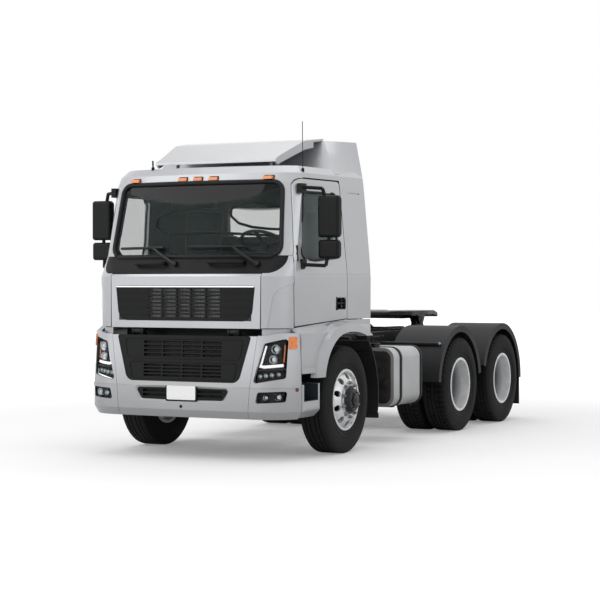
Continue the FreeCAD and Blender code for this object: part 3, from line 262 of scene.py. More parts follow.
# ---- Windscreen and windows --------------------------------------------------------
# Laminated green-tinted glass bonded into black rubber. The windscreen darkens to a
# printed band along its top edge. The rubber is an extruded bead round each opening.
SHEET_GLASS = {"Roughness": 0.03, "IOR": 1.52, "Specular IOR Level": 0.2}
finish(surface("tinted_side_glass", {**SHEET_GLASS, "Alpha": 0.2}, "93A19E")[0],
       "door_glass_left", "door_glass_right")

banded_glass, tree, shader, where = surface("banded_windscreen_glass", SHEET_GLASS, None)
# the band is 190 mm deep at the middle and thins out towards the corners
spot = add(tree, "SeparateXYZ", {0: where})
across = add(tree, "Math", {"operation": "POWER", 0: spot.outputs["X"], 1: 2.0})
arc = add(tree, "Math", {"operation": "MULTIPLY_ADD", 0: across, 1: -0.19, 2: -2.415})
above = add(tree, "Math", {"operation": "ADD", 0: spot.outputs["Z"], 1: arc})
band = add(tree, "MapRange", {"From Min": -0.02, "From Max": 0.015, "Value": above})
dark = add(tree, "Mix", {"data_type": "RGBA", 0: band, 6: linear("3A4644"), 7: linear("050506")})
solid = add(tree, "MapRange", {"To Min": 0.16, "To Max": 0.985, "Value": band})
tree.links.new(dark.outputs[2], shader.inputs["Base Color"])
tree.links.new(solid.outputs[0], shader.inputs["Alpha"])
finish(banded_glass, "cab_glass")


def faces_of(*names):
    """A search tree over CAD pieces, to lay trim on their skins."""
    points, faces = [], []
    for name in names:
        mesh = cad[name].data
        first = len(points)
        points += [v.co.copy() for v in mesh.vertices]
        faces += [[first + i for i in p.vertices] for p in mesh.polygons]
    return BVHTree.FromPolygons(points, faces)


def landed(tree, start, aim, out):
    """Where a line meets the skin, or the skin nearest to a gap, standing out by a distance."""
    place, normal, _, _ = tree.ray_cast(start, aim)
    if place is None:
        place, normal, _, _ = tree.find_nearest(start + aim * 2.0)
    return place + normal * out


def ahead(tree, x, z, out=0.0):
    """The skin's place seen from ahead."""
    return landed(tree, Vector((x, -5.0, z)), Vector((0, 1, 0)), out)


def beside(tree, y, z, side):
    """The skin's place seen from one side."""
    return landed(tree, Vector((side * 3.0, y, z)), Vector((-side, 0, 0)), 0.0)


def tube(bm, points, radius, closed=False, round_corners=True):
    """Adds round bar, bead or hose of one radius through these points."""
    line = bpy.data.curves.new("run", "CURVE")
    line.dimensions = "3D"
    line.bevel_depth = radius
    line.bevel_resolution = 2
    line.resolution_u = 6
    line.use_fill_caps = not closed
    spline = line.splines.new("BEZIER")
    spline.bezier_points.add(len(points) - 1)
    for knot, place in zip(spline.bezier_points, points):
        knot.co = place
        knot.handle_left_type = knot.handle_right_type = "AUTO" if round_corners else "VECTOR"
    spline.use_cyclic_u = closed
    carrier = bpy.data.objects.new("run", line)
    mesh = bpy.data.meshes.new_from_object(carrier)
    bm.from_mesh(mesh)
    bpy.data.objects.remove(carrier)
    bpy.data.meshes.remove(mesh)
    bpy.data.curves.remove(line)


def bevel(bm, edges, offset, steps):
    """Rounds these edges."""
    return bmesh.ops.bevel(bm, geom=edges, offset=offset, offset_type="OFFSET", segments=steps,
                           profile=0.5, affect="EDGES", material=-1)


def block(bm, low, high, edge=0.0):
    """Adds a block between two corners, its edges rounded."""
    low, high = (Vector(ends) for ends in zip(*[sorted(pair) for pair in zip(low, high)]))
    made = bmesh.ops.create_cube(bm, size=1.0)["verts"]
    bmesh.ops.scale(bm, vec=high - low, verts=made)
    bmesh.ops.translate(bm, vec=(low + high) / 2, verts=made)
    if edge:
        bevel(bm, list({e for v in made for e in v.link_edges}), edge, 2)


def lathe(bm, profile, centre, axis="X", steps=48, sign=1):
    """Adds a turned form from (along, radius) points; open ends on the axis close."""
    cx, cy, cz = centre
    turn = {"X": (Vector((1, 0, 0)), lambda a, r: (cx + a, cy, cz + r)),
            "Y": (Vector((0, 1, 0)), lambda a, r: (cx, cy + a, cz + r)),
            "Z": (Vector((0, 0, 1)), lambda a, r: (cx + r, cy, cz + a))}[axis]
    verts = [bm.verts.new(turn[1](sign * a, r)) for a, r in profile]
    edges = [bm.edges.new(pair) for pair in zip(verts, verts[1:])]
    bmesh.ops.spin(bm, geom=verts + edges, axis=turn[0], cent=centre, angle=math.tau, steps=steps,
                   use_merge=True)
    bmesh.ops.remove_doubles(bm, verts=[v for v in bm.verts if v.is_valid], dist=1e-6)


def corners_of(geometry):
    """The vertices among what an operator gives back."""
    return [g for g in geometry if isinstance(g, bmesh.types.BMVert)]


def slab(bm, outline, axis, low, high, edge=0.0, steps=2):
    """Adds a flat outline in the plane across an axis, given a thickness along it."""
    put = {"X": lambda u, v, w: (w, u, v), "Y": lambda u, v, w: (u, w, v),
           "Z": lambda u, v, w: (u, v, w)}[axis]
    bottom = bm.faces.new([bm.verts.new(put(u, v, low)) for u, v in outline])
    top = bmesh.ops.extrude_face_region(bm, geom=[bottom])["geom"]
    bmesh.ops.translate(bm, vec=Vector(put(0, 0, high - low)), verts=corners_of(top))
    if edge:
        rim = [e for g in top if isinstance(g, bmesh.types.BMFace) for e in g.edges]
        bevel(bm, list(set(rim + list(bottom.edges))), edge, steps)


def rounded(corners, steps=5):
    """A flat outline with round corners, from (u, v, radius) points."""
    out = []
    for i, (u, v, radius) in enumerate(corners):
        if radius == 0:
            out.append((u, v))
            continue
        here = Vector((u, v))
        back = (Vector(corners[i - 1][:2]) - here).normalized()
        on = (Vector(corners[(i + 1) % len(corners)][:2]) - here).normalized()
        half = back.angle(on) / 2
        centre = here + (back + on).normalized() * (radius / math.sin(half))
        start = here + back * (radius / math.tan(half)) - centre
        sweep = start.angle_signed(here + on * (radius / math.tan(half)) - centre)
        for k in range(steps + 1):
            turn = -sweep * k / steps
            p = centre + Vector((start.x * math.cos(turn) - start.y * math.sin(turn),
                                 start.x * math.sin(turn) + start.y * math.cos(turn)))
            out.append((p.x, p.y))
    return out


def panel(u0, u1, v0, v1, radius, steps=5):
    """A rectangle with round corners, from its bounds."""
    return rounded([(u0, v0, radius), (u0, v1, radius), (u1, v1, radius), (u1, v0, radius)], steps)


def dense(outline, step):
    """The same closed outline with its long runs divided."""
    out = []
    for (u0, v0), (u1, v1) in zip(outline, outline[1:] + outline[:1]):
        parts = max(1, round(math.hypot(u1 - u0, v1 - v0) / step))
        out += [(u0 + (u1 - u0) * i / parts, v0 + (v1 - v0) * i / parts) for i in range(parts)]
    return out


def piece(name, bm, material, body, angle=35):
    """Makes the finished piece: one mesh in place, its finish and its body."""
    bmesh.ops.remove_doubles(bm, verts=bm.verts, dist=1e-5)
    bmesh.ops.recalc_face_normals(bm, faces=bm.faces)
    mesh = bpy.data.meshes.new(name)
    bm.to_mesh(mesh)
    bm.free()
    mesh.materials.append(material)
    mesh.shade_smooth()
    mesh.set_sharp_from_angle(angle=math.radians(angle))
    made = bpy.data.objects.new(name, mesh)
    scene.collection.objects.link(made)
    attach(made, body)
    return made


rubber_seal = surface("extruded_epdm_rubber", {"Roughness": 0.62, "Specular IOR Level": 0.3},
                      ("0C0D0E", "131415", 80), grain=(3, 0.05, 0.4))[0]

screen_skin = faces_of("cab_front", "cab_glass", "cab_roof", "windscreen_cowl")
bm = bmesh.new()
edge = rounded([(-0.921, 1.905, 0.10), (-0.870, 2.611, 0.10), (0.870, 2.611, 0.10),
                (0.921, 1.905, 0.10)], 8)
tube(bm, [ahead(screen_skin, x, z) for x, z in dense(edge, 0.12)], 0.022, closed=True)
piece("windscreen_rubber", bm, rubber_seal, "cab")

door_edge = rounded([(-2.629, 1.890, 0.06), (-2.551, 2.515, 0.06), (-1.949, 2.520, 0.06),
                     (-1.934, 1.905, 0.06), (-2.389, 1.868, 0.25)], 6)
for side, sign in SIDES:
    skin = faces_of("door_" + side, "door_glass_" + side)
    bm = bmesh.new()
    tube(bm, [beside(skin, y, z, sign) for y, z in dense(door_edge, 0.1)], 0.011, closed=True)
    piece("window_rubber_" + side, bm, rubber_seal, "door_%s_leaf" % side)

back_skin = faces_of("cab_rear_wall", "cab_glass")
bm = bmesh.new()
tube(bm, [landed(back_skin, Vector((x, 0.0, z)), Vector((0, -1, 0)), 0.0)
          for x, z in dense(panel(-0.40, 0.40, 2.13, 2.44, 0.06), 0.1)], 0.013, closed=True)
piece("rear_window_rubber", bm, rubber_seal, "cab")


# ---- Black cowl, wipers and grab handles -------------------------------------------
# Injection-moulded black plastic with a fine leather grain; the wipers are painted
# steel arms on short spindles, parked low across the glass.
black_moulding = surface("grained_black_polypropylene", {"Specular IOR Level": 0.2},
                         ("08090A", "0E0F11", 300), rough=(0.45, 0.56), grain=(4, 0.06, 0.45))[0]
finish(black_moulding, "windscreen_cowl", "mirror_left", "mirror_right", "antennas", "upper_grille",
       "lower_grilles", "battery_box")
satin_black = surface("satin_black_enamel", {"Specular IOR Level": 0.35}, ("0B0B0D", "141416", 200),
                      rough=(0.36, 0.5))[0]

# pivot x, z; where the arm meets the blade; blade ends
for name, pivot, joint, ends in (
        ("wiper_left", (-0.10, 1.840), (-0.363, 1.979), (-0.790, -0.250)),
        ("wiper_right", (0.742, 1.838), (0.475, 1.985), (0.020, 0.590))):
    bm = bmesh.new()
    base = ahead(screen_skin, *pivot)
    lathe(bm, [(0.0, 0.0), (0.0, 0.026), (-0.035, 0.024), (-0.045, 0.016), (-0.045, 0.0)], base, "Y", 20)
    tip = ahead(screen_skin, *joint, 0.045)
    raise_arm, raise_blade = Vector((0, -0.035, 0)), Vector((0, -0.008, 0))
    tube(bm, [base + raise_arm, (base + tip) / 2 + raise_arm, tip], 0.014)
    blade = [ahead(screen_skin, ends[0] + (ends[1] - ends[0]) * i / 6, joint[1] + 0.004, 0.030)
             for i in range(7)]
    tube(bm, blade, 0.013)
    tube(bm, [p + Vector((0, 0.016, -0.004)) for p in blade], 0.006)
    tube(bm, [blade[1] + raise_blade, tip, blade[5] + raise_blade], 0.007)
    piece(name, bm, satin_black, "cab")

# x from, x to, height
for name, x0, x1, z in (("grab_handle_left", -0.560, -0.195, 1.843),
                        ("grab_handle_right", 0.247, 0.627, 1.853)):
    bm = bmesh.new()
    a, b = ahead(screen_skin, x0 + 0.02, z), ahead(screen_skin, x1 - 0.02, z)
    out = Vector((0, -0.055, 0))
    tube(bm, [a, a + out * 0.8, a + out + Vector((0.04, 0, 0)), (a + b) / 2 + out * 1.1,
              b + out + Vector((-0.04, 0, 0)), b + out * 0.8, b], 0.017)
    piece(name, bm, black_moulding, "cab")


# ---- Upper grille ------------------------------------------------------------------
# A black moulding in the lid: a fine mesh behind its open middle and one bright
# chromed strip along the top edge.
chrome = surface("chrome_plated_plastic", {"Metallic": 1.0}, ("D2D3D5", "DEDFE0", 60),
                 rough=(0.09, 0.17))[0]
deep_black = surface("dark_wire_mesh", {"Roughness": 0.6}, ("060607", "0C0C0E", 50))[0]

lid_skin = faces_of("front_hatch", "upper_grille")
bm = bmesh.new()
tube(bm, [ahead(lid_skin, -0.745 + 1.49 * i / 20, 1.622, 0.004) for i in range(21)], 0.008)
piece("grille_chrome_strip", bm, chrome, "hatch")

hatch_skin = faces_of("front_hatch")
WIRE = 0.0016                                       # half the width of a mesh wire
bm = bmesh.new()
for i in range(53):                                 # upright wires, 15 mm apart
    x = -0.390 + 0.015 * i
    y = ahead(hatch_skin, x, 1.470).y
    block(bm, (x - WIRE, y - 0.006, 1.325), (x + WIRE, y - 0.001, 1.617))
for j in range(20):                                 # level wires, in short runs that follow the skin
    z = 1.330 + 0.0148 * j
    for i in range(12):
        x = -0.3575 + 0.065 * i
        y = ahead(hatch_skin, x, z).y
        block(bm, (x - 0.033, y - 0.0065, z - WIRE), (x + 0.033, y - 0.0015, z + WIRE))
piece("grille_mesh", bm, deep_black, "hatch")


# ---- Bumper face -------------------------------------------------------------------
# The wide lower grille is one black moulding with two slatted windows, each inside a
# thin raised outline. A blank white plate sits on a black holder over the low intake.
bumper_skin = faces_of("front_bumper", "lower_grilles", "bumper_corners", "headlamps")
bm = bmesh.new()
for low, high, half in ((0.948, 1.132, 0.640), (0.758, 0.912, 0.585)):
    outline = rounded([(-half + 0.035, low, 0.03), (-half, high, 0.03), (half, high, 0.03),
                       (half - 0.035, low, 0.03)], 4)
    tube(bm, [ahead(bumper_skin, x, z) for x, z in dense(outline, 0.12)], 0.0055, closed=True)
piece("lower_grille_outlines", bm, black_moulding, "chassis")

nose = ahead(bumper_skin, 0.0, 0.72).y
WIRE = 0.0018


def bowed(x):
    """How far back the lower grille's mesh stands, which follows the bumper's curve."""
    return nose + 0.034 + 0.028 * (x / 0.43) ** 2


bm = bmesh.new()
for z0, z1 in ((0.955, 1.125), (0.765, 0.905), (0.585, 0.66)):
    for i in range(44):                             # upright wires, 20 mm apart
        x = -0.430 + 0.02 * i
        block(bm, (x - WIRE, bowed(x), z0), (x + WIRE, bowed(x) + 0.006, z1))
    for j in range(int((z1 - z0) / 0.02) + 1):
        z = z0 + 0.02 * j
        for i in range(6):
            x = -0.3583 + 0.1433 * i
            block(bm, (x - 0.072, bowed(x), z - WIRE), (x + 0.072, bowed(x) + 0.006, z + WIRE))
    # the dark backing, a near-black sheet behind the mesh: painted shade in the opening
    slab(bm, [(-0.445, z0 - 0.01), (-0.445, z1 + 0.01), (0.445, z1 + 0.01), (0.445, z0 - 0.01)], "Y",
         nose + 0.072, nose + 0.075)
piece("lower_grille_mesh", bm, deep_black, "chassis")

plate_white = surface("white_reflective_sheet", {"Roughness": 0.32, "Coat Weight": 0.3},
                      ("E9EAEA", "EFEFEF", 60))[0]
# name, finish, slot, outline, front and back behind the foremost point, edge, its steps
for name, material, slot, outline, front, back, edge, steps in (
        ("blank_plate", plate_white, "bumper_paint", panel(-0.155, 0.155, 0.562, 0.694, 0.012),
         0.0005, 0.004, 0.001, 1),
        ("plate_holder", black_moulding, "grille_plastic", panel(-0.170, 0.170, 0.548, 0.700, 0.012),
         0.004, 0.016, 0.002, 2)):
    bm = bmesh.new()
    slab(bm, outline, "Y", cad_box[0].y + front, cad_box[0].y + back, edge, steps)
    piece(name, bm, material, "chassis")
bm = bmesh.new()
lathe(bm, [(0.012, 0.0), (-0.001, 0.0), (-0.001, 0.015), (0.002, 0.018), (0.012, 0.018)],
      ahead(bumper_skin, 0.0, 0.500), "Y", 24)
piece("towing_eye_cap", bm, black_moulding, "chassis")


# ---- Headlamps and fog lamps -------------------------------------------------------
# Clear moulded lenses over a black tray: chromed bowls with round lenses, a white
# L-shaped light guide, a row of small lamps, and fog lamps in their own recess.
clear_lens = surface("clear_polycarbonate", {
    "Roughness": 0.02, "IOR": 1.58, "Alpha": 0.05, "Specular IOR Level": 0.2}, "30363A")[0]
finish(clear_lens, "headlamps")
guide_white = surface("white_light_guide", {
    "Roughness": 0.25, "Emission Color": linear("FFFFFF"), "Emission Strength": 0.35}, "FFFFFF")[0]
lamp_bowl = surface("vacuum_metallised_reflector", {"Metallic": 1.0, "Roughness": 0.16},
                    ("BFC3C6", "D4D6D8", 25))[0]
lens_glass = surface("pressed_lamp_glass", {
    "Roughness": 0.04, "Coat Weight": 1.0, "Coat Roughness": 0.02}, "DCE6EA")[0]
# the grain is the prisms inside the lens
amber_lens = surface("amber_acrylic_lens", {"Roughness": 0.18, "Coat Weight": 0.8},
                     ("DE6A10", "F08A2A", 20), grain=(6, 0.3, 0.4))[0]
finish(amber_lens, "marker_lamps")
dull_red_lens = surface("dull_red_prismatic_lens", {"Roughness": 0.3}, ("5A2018", "7E3428", 12))[0]


def patch(bm, outline, skin, out, step, thick, sign):
    """Adds a sheet that follows the skin inside a convex outline of (x, z) points."""
    xs, zs = zip(*outline)
    wide, tall = max(xs) - min(xs), max(zs) - min(zs)
    made = bmesh.new()
    bmesh.ops.create_grid(made, x_segments=max(2, round(wide / step)),
                          y_segments=max(2, round(tall / step)), size=0.5)
    for v in made.verts:
        v.co = Vector((min(xs) + (v.co.x + 0.5) * wide, 0, min(zs) + (v.co.y + 0.5) * tall))
    middle = Vector((sum(xs) / len(xs), 0, sum(zs) / len(zs)))
    for (u0, v0), (u1, v1) in zip(outline, outline[1:] + outline[:1]):
        side = Vector((u1 - u0, 0, v1 - v0)).cross(Vector((0, 1, 0)))
        if side.dot(middle - Vector((u0, 0, v0))) > 0:
            side = -side
        bmesh.ops.bisect_plane(made, geom=made.verts[:] + made.edges[:] + made.faces[:], dist=1e-5,
                               plane_co=(u0, 0, v0), plane_no=side, clear_outer=True)
    for v in made.verts:
        v.co = ahead(skin, v.co.x, v.co.z, out)
    whole = bmesh.ops.extrude_face_region(made, geom=made.faces[:], use_keep_orig=True)["geom"]
    bmesh.ops.translate(made, vec=(0, thick, 0), verts=corners_of(whole))
    if sign < 0:
        bmesh.ops.scale(made, vec=(-1, 1, 1), verts=made.verts)
    mesh = bpy.data.meshes.new("patch")
    made.to_mesh(mesh)
    made.free()
    bm.from_mesh(mesh)
    bpy.data.meshes.remove(mesh)


def on_bumper(points, out, sign, up=0.0):
    """Places on the bumper's left from (x, z) points, or their mirror image on its right."""
    places = [ahead(bumper_skin, x, z, out) for x, z in points]
    return [Vector((sign * p.x, p.y, p.z + up)) for p in places]


def plate(bm, low, high):
    """Adds a flat plate between two like rings of places."""
    low, high = ([bm.verts.new(p) for p in ring] for ring in (low, high))
    bm.faces.new(low[::-1])
    bm.faces.new(high)
    for i in range(len(low)):
        bm.faces.new((low[i - 1], low[i], high[i], high[i - 1]))


def stud(bm, sides, foot, tip, length):
    """Adds a round or many-sided stud about the origin; returns its vertices."""
    return bmesh.ops.create_cone(bm, cap_ends=True, segments=sides, radius1=foot, radius2=tip,
                                 depth=length)["verts"]


lamp_outline = rounded([(0.752, 0.733, 0.022), (0.855, 1.095, 0.022), (1.041, 1.142, 0.022),
                        (1.036, 0.785, 0.022)], 4)
fog_outline = rounded([(0.780, 0.552, 0.018), (0.804, 0.648, 0.018), (1.047, 0.657, 0.018),
                       (1.035, 0.566, 0.018)], 4)
GUIDE = ((0.868, 1.080), (0.846, 1.000), (0.824, 0.920), (0.808, 0.886), (0.850, 0.880),
         (0.940, 0.888), (1.020, 0.895))
# x, z, bowl radius
BOWLS = ((0.955, 1.050, 0.044), (0.935, 0.955, 0.040), (0.812, 0.800, 0.021), (0.870, 0.806, 0.021),
         (0.928, 0.812, 0.021), (0.986, 0.818, 0.021), (0.985, 0.607, 0.036), (0.870, 0.602, 0.026))
corner_skin = faces_of("bumper_corners")
for side, sign in SIDES:
    bm = bmesh.new()
    patch(bm, lamp_outline, bumper_skin, -0.052, 0.05, 0.02, sign)
    patch(bm, fog_outline, bumper_skin, -0.045, 0.05, 0.02, sign)
    for outline in (lamp_outline, fog_outline):     # the tray's walls back from the lens
        ring = [bm.verts.new(p) for p in on_bumper(outline, -0.022, sign)]
        rim = [bm.edges.new((ring[i - 1], ring[i])) for i in range(len(ring))]
        drawn = bmesh.ops.extrude_edge_only(bm, edges=rim)["geom"]
        bmesh.ops.translate(bm, vec=(0, 0.05, 0), verts=corners_of(drawn))
    # split between the upper lamps and the lower row
    split = [(0.790 + 0.25 * i / 5, 0.852 + 0.012 * i / 5) for i in range(6)]
    tube(bm, on_bumper(split, -0.024, sign), 0.012)
    piece("lamp_trays_" + side, bm, deep_black, "chassis")

    bm = bmesh.new()
    tube(bm, on_bumper(GUIDE, -0.026, sign), 0.0095, round_corners=False)
    tube(bm, on_bumper(GUIDE[3:], -0.026, sign, 0.012), 0.0075, round_corners=False)
    piece("light_guide_" + side, bm, guide_white, "chassis")

    bm = bmesh.new()
    bulbs = bmesh.new()
    for x, z, r in BOWLS:
        seat = on_bumper([(x, z)], -0.030, sign)[0]
        lathe(bm, [(0.0, r), (0.012, r * 0.9), (0.020, r * 0.62), (0.023, 0.0)], seat, "Y", 24)
        lathe(bm, [(0.0, r), (-0.002, r * 1.04), (0.004, r * 1.08), (0.014, r * 1.02)], seat, "Y", 24)
        lathe(bulbs, [(-0.004, 0.0), (-0.001, r * 0.30), (0.006, r * 0.52), (0.020, r * 0.55)], seat,
              "Y", 20)
    piece("lamp_bowls_" + side, bm, lamp_bowl, "chassis", 50)
    piece("lamp_lenses_" + side, bulbs, lens_glass, "chassis", 50)

    # a bar up the lamp's edge, and the lamp and the reflector on the corner's skin
    bm = bmesh.new()
    tube(bm, on_bumper(((1.022, 0.93), (1.026, 1.01), (1.028, 1.09)), -0.028, sign), 0.007)
    inward = Vector((-sign * 0.78, 0.62, 0)).normalized()
    along = Vector((sign * 0.62, 0.78, 0)).normalized()
    spot = landed(corner_skin, Vector((sign * 1.075, -2.851, 1.106)) - inward, inward, 0.0)
    ring = [landed(corner_skin, spot + along * u + Vector((0, 0, v)) - inward, inward, 0.0)
            for u, v in panel(-0.040, 0.040, -0.056, 0.056, 0.010)]
    plate(bm, [p + inward * 0.004 for p in ring], [p - inward * 0.012 for p in ring])
    piece("side_turn_lamp_" + side, bm, amber_lens, "chassis")
    bm = bmesh.new()
    spot = landed(corner_skin, Vector((sign * 1.109, -2.837, 0.673)) - inward, inward, 0.0)
    disc = stud(bm, 20, 0.019, 0.017, 0.008)
    bmesh.ops.rotate(bm, cent=(0, 0, 0), matrix=(-inward).to_track_quat("Z", "Y").to_matrix(), verts=disc)
    bmesh.ops.translate(bm, vec=spot - inward * 0.002, verts=disc)
    piece("side_reflector_" + side, bm, dull_red_lens, "chassis")


# ---- Doors and mirrors -------------------------------------------------------------
# Each door has a black moulded handle set in its recess, two deep cells beside two small
# ones. The mirrors are silvered glass in black shells; small plates cover their roots.
mirror_glass = surface("silvered_mirror_glass", {"Metallic": 1.0, "Roughness": 0.02},
                       ("C6CBCD", "CDD1D3", 150))[0]
MIRROR_SHAPES = ((1.162, 1.356, 2.098, 2.466, -2.414), (1.164, 1.354, 1.898, 2.049, -2.417))
RIM = 0.002                                         # how far the rims stand outside the glass
Y0, Y1, Z0, Z1 = -2.019, -1.837, 1.402, 1.518       # the handle's recess
LIP = 0.008
# y from and to, z from and to, how proud of the door, edge: the frame, the post, the pull
HANDLE_BARS = (
    (Y0 - LIP, Y1 + LIP, Z1 - 0.010, Z1 + LIP, 0.004, 0.004),
    (Y0 - LIP, Y1 + LIP, Z0 - LIP, Z0 + 0.010, 0.004, 0.004),
    (Y0 - LIP, Y0 + 0.010, Z0 - LIP, Z1 + LIP, 0.004, 0.004),
    (Y1 - 0.010, Y1 + LIP, Z0 - LIP, Z1 + LIP, 0.004, 0.004),
    (Y0 + 0.105, Y0 + 0.120, Z0, Z1, 0.003, 0.004),
    (Y0, Y1, 1.452, 1.470, 0.006, 0.006),
    (Y0 + 0.125, Y1 - 0.012, 1.474, Z1 - 0.014, -0.006, 0.004))
for side, sign in SIDES:
    leaf = "door_%s_leaf" % side
    skin = faces_of("door_" + side, "door_glass_" + side)
    face = min(abs(beside(skin, y, (Z0 + Z1) / 2, sign).x) for y in (Y0 - 0.02, Y1 + 0.02))
    floor_x = abs(beside(skin, (Y0 + Y1) / 2, (Z0 + Z1) / 2, sign).x)
    bm = bmesh.new()
    for y_low, y_high, z_low, z_high, proud, edge in HANDLE_BARS:
        block(bm, (sign * (floor_x - 0.002), y_low, z_low), (sign * (face + proud), y_high, z_high), edge)
    piece("door_handle_" + side, bm, black_moulding, leaf)
    bm = bmesh.new()
    block(bm, (sign * (floor_x - 0.001), Y0 + 0.001, Z0 + 0.001),
          (sign * (floor_x + 0.003), Y1 - 0.001, Z1 - 0.001))
    piece("door_handle_well_" + side, bm, deep_black, leaf)
    bm = bmesh.new()
    lathe(bm, [(-0.012, 0.0), (-0.012, 0.008), (-0.007, 0.008), (-0.006, 0.0)],
          (sign * face, Y1 - 0.034, 1.432), "X", 16, sign)
    piece("door_lock_" + side, bm, chrome, leaf)

    glass, rims = bmesh.new(), bmesh.new()
    for x0, x1, low, high, y in MIRROR_SHAPES:
        slab(glass, panel(sign * x0, sign * x1, low, high, 0.028), "Y", y - 0.001, y + 0.0035, 0.001, 1)
        line = panel(sign * (x0 - RIM), sign * (x1 + RIM), low - RIM, high + RIM, 0.028)
        tube(rims, [Vector((x, y + 0.001, z)) for x, z in line], 0.004, closed=True, round_corners=False)
    piece("mirror_glass_" + side, glass, mirror_glass, leaf)
    piece("mirror_rims_" + side, rims, black_moulding, leaf)

    # the plates at the foot of the screen pillar, on the leading corner of the door
    into = Vector((-sign * 0.78, 0.62, 0)).normalized()
    across = Vector((sign * 0.62, 0.78, 0)).normalized()
    bm = bmesh.new()
    for z in (1.860, 1.930):
        ring = [landed(skin, Vector((sign * 1.026, -2.712, v)) + across * u - into, into, -0.003)
                for u, v in ((-0.030, z), (-0.030, z + 0.080), (0.030, z + 0.080), (0.030, z))[::-sign]]
        plate(bm, ring, [p - into * 0.014 for p in ring])
    piece("pillar_foot_plate_" + side, bm, black_moulding, leaf)


# ---- Steps -------------------------------------------------------------------------
# The painted housings behind the bumper corners, with painted shade down in the foothold, which
# has a black tread with eight raised bars.
step_paint, tree, shader, where = surface(
    "silver_step_with_painted_shade_in_foothold", {"Metallic": 0.45, "Roughness": 0.38, "Coat Weight": 0.3},
    ("AEB0B3", "B6B8BB", 400), ("8F8D88", 1.0, 0.3, 0.3))
# painted shade in the foothold's box, drawn a little short of its open sides
foothold_shade = between(tree, part(tree, where, "X", True), 0.945, 1.1455)
for axis, low, high in (("Y", -2.7485, -2.4675), ("Z", 0.5585, 0.7155)):
    both = between(tree, part(tree, where, axis), low, high)
    foothold_shade = add(tree, "Math", {"operation": "MULTIPLY", 0: foothold_shade, 1: both})
tinted(tree, shader, foothold_shade, "3E464C")
finish(step_paint, "entry_steps")

for side, sign in SIDES:
    bm = bmesh.new()
    block(bm, (sign * 0.962, -2.742, 0.559), (sign * 1.140, -2.474, 0.566), 0.002)
    for i in range(8):
        y = -2.728 + 0.0335 * i
        block(bm, (sign * 0.968, y, 0.564), (sign * 1.134, y + 0.012, 0.573), 0.003)
    piece("step_tread_" + side, bm, black_moulding, "chassis")


# ---- Roof --------------------------------------------------------------------------
# Five amber marker lamps sit in thin black bezels on the brow over the windscreen. The
# fairing's rear edge and struts are left in the paint they came with.
roof_skin = faces_of("cab_front", "cab_roof")
bm = bmesh.new()
for x in (-0.729, -0.168, 0.0, 0.168, 0.729):
    rim = panel(x - 0.050, x + 0.050, 2.629, 2.669, 0.008, 3)
    tube(bm, [ahead(roof_skin, u, v) for u, v in rim], 0.0045, closed=True, round_corners=False)
piece("marker_lamp_bezels", bm, black_moulding, "cab")


# ---- Tyres -------------------------------------------------------------------------
# Radial truck tyres, moulded in black rubber that weathers to grey. The steered pair
# have four straight grooves; the driven ones have blocks with grooves across them.
tyre_rubber = surface("weathered_tyre_rubber", {"Specular IOR Level": 0.2}, ("0E0F10", "17181A", 220),
                      ("3A3835", 0.55, 0.0, 0.22), (0.70, 0.85), (5, 0.12, 0.5))[0]

STEER_Y, DRIVE_Y = -1.829, (1.031, 2.401)
AXLE_Z = 0.522
TYRE_RADIUS = 0.5220
# distance from the tyre's middle, radius: crown, shoulder, side rings, bead
SIDE_OF_TYRE = ((0.1050, 0.5215), (0.1180, 0.5180), (0.1265, 0.5080), (0.1315, 0.4900), (0.1345, 0.4880),
                (0.1400, 0.4580), (0.1440, 0.4300), (0.1450, 0.4080), (0.1440, 0.3850), (0.1420, 0.3720),
                (0.1445, 0.3690), (0.1445, 0.3630), (0.1405, 0.3590), (0.1360, 0.3350), (0.1330, 0.3180),
                (0.1290, 0.3060), (0.1235, 0.2990), (0.1220, 0.2860))
GROOVE_DEPTH = 0.015


def tyre_profile(grooves, half_width):
    """The half section of a tyre from its middle outwards, its straight grooves sunk."""
    points = [(0.0, TYRE_RADIUS)]
    for at in grooves:
        points += [(at - half_width, TYRE_RADIUS), (at - half_width + 0.0015, TYRE_RADIUS - GROOVE_DEPTH),
                   (at + half_width - 0.0015, TYRE_RADIUS - GROOVE_DEPTH), (at + half_width, 0.5219)]
    return points + list(SIDE_OF_TYRE)


def one_pitch(grooves, half_width, turns, cross):
    """One repeat of the tread round the tyre; cross grooves are (x from, x to, depth)."""
    made = bmesh.new()
    half = tyre_profile(grooves, half_width)
    ring = [(x, r) for x, r in half] + [(-x, r) for x, r in reversed(half[1:])]
    verts = [made.verts.new((x, 0, r)) for x, r in ring]
    line = verts + [made.edges.new(pair) for pair in zip(verts, verts[1:] + verts[:1])]
    first = None
    for angle, steps in turns:
        line = bmesh.ops.spin(made, geom=line, axis=(1, 0, 0), cent=(0, 0, 0), angle=math.radians(angle),
                              steps=steps)["geom_last"]
        first = first or list(made.faces)
    for x0, x1, depth in cross:
        cut = [f for f in first if x0 < abs(f.calc_center_median().x) < x1
               and f.calc_center_median().yz.length > TYRE_RADIUS - GROOVE_DEPTH + 0.003]
        sunk = corners_of(bmesh.ops.extrude_face_region(made, geom=cut)["geom"])
        out = sum((Vector((0, v.co.y, v.co.z)) for v in sunk), Vector((0, 0, 0)))
        bmesh.ops.translate(made, vec=-out.normalized() * depth, verts=sunk)
    mesh = bpy.data.meshes.new("pitch")
    made.to_mesh(mesh)
    made.free()
    return mesh


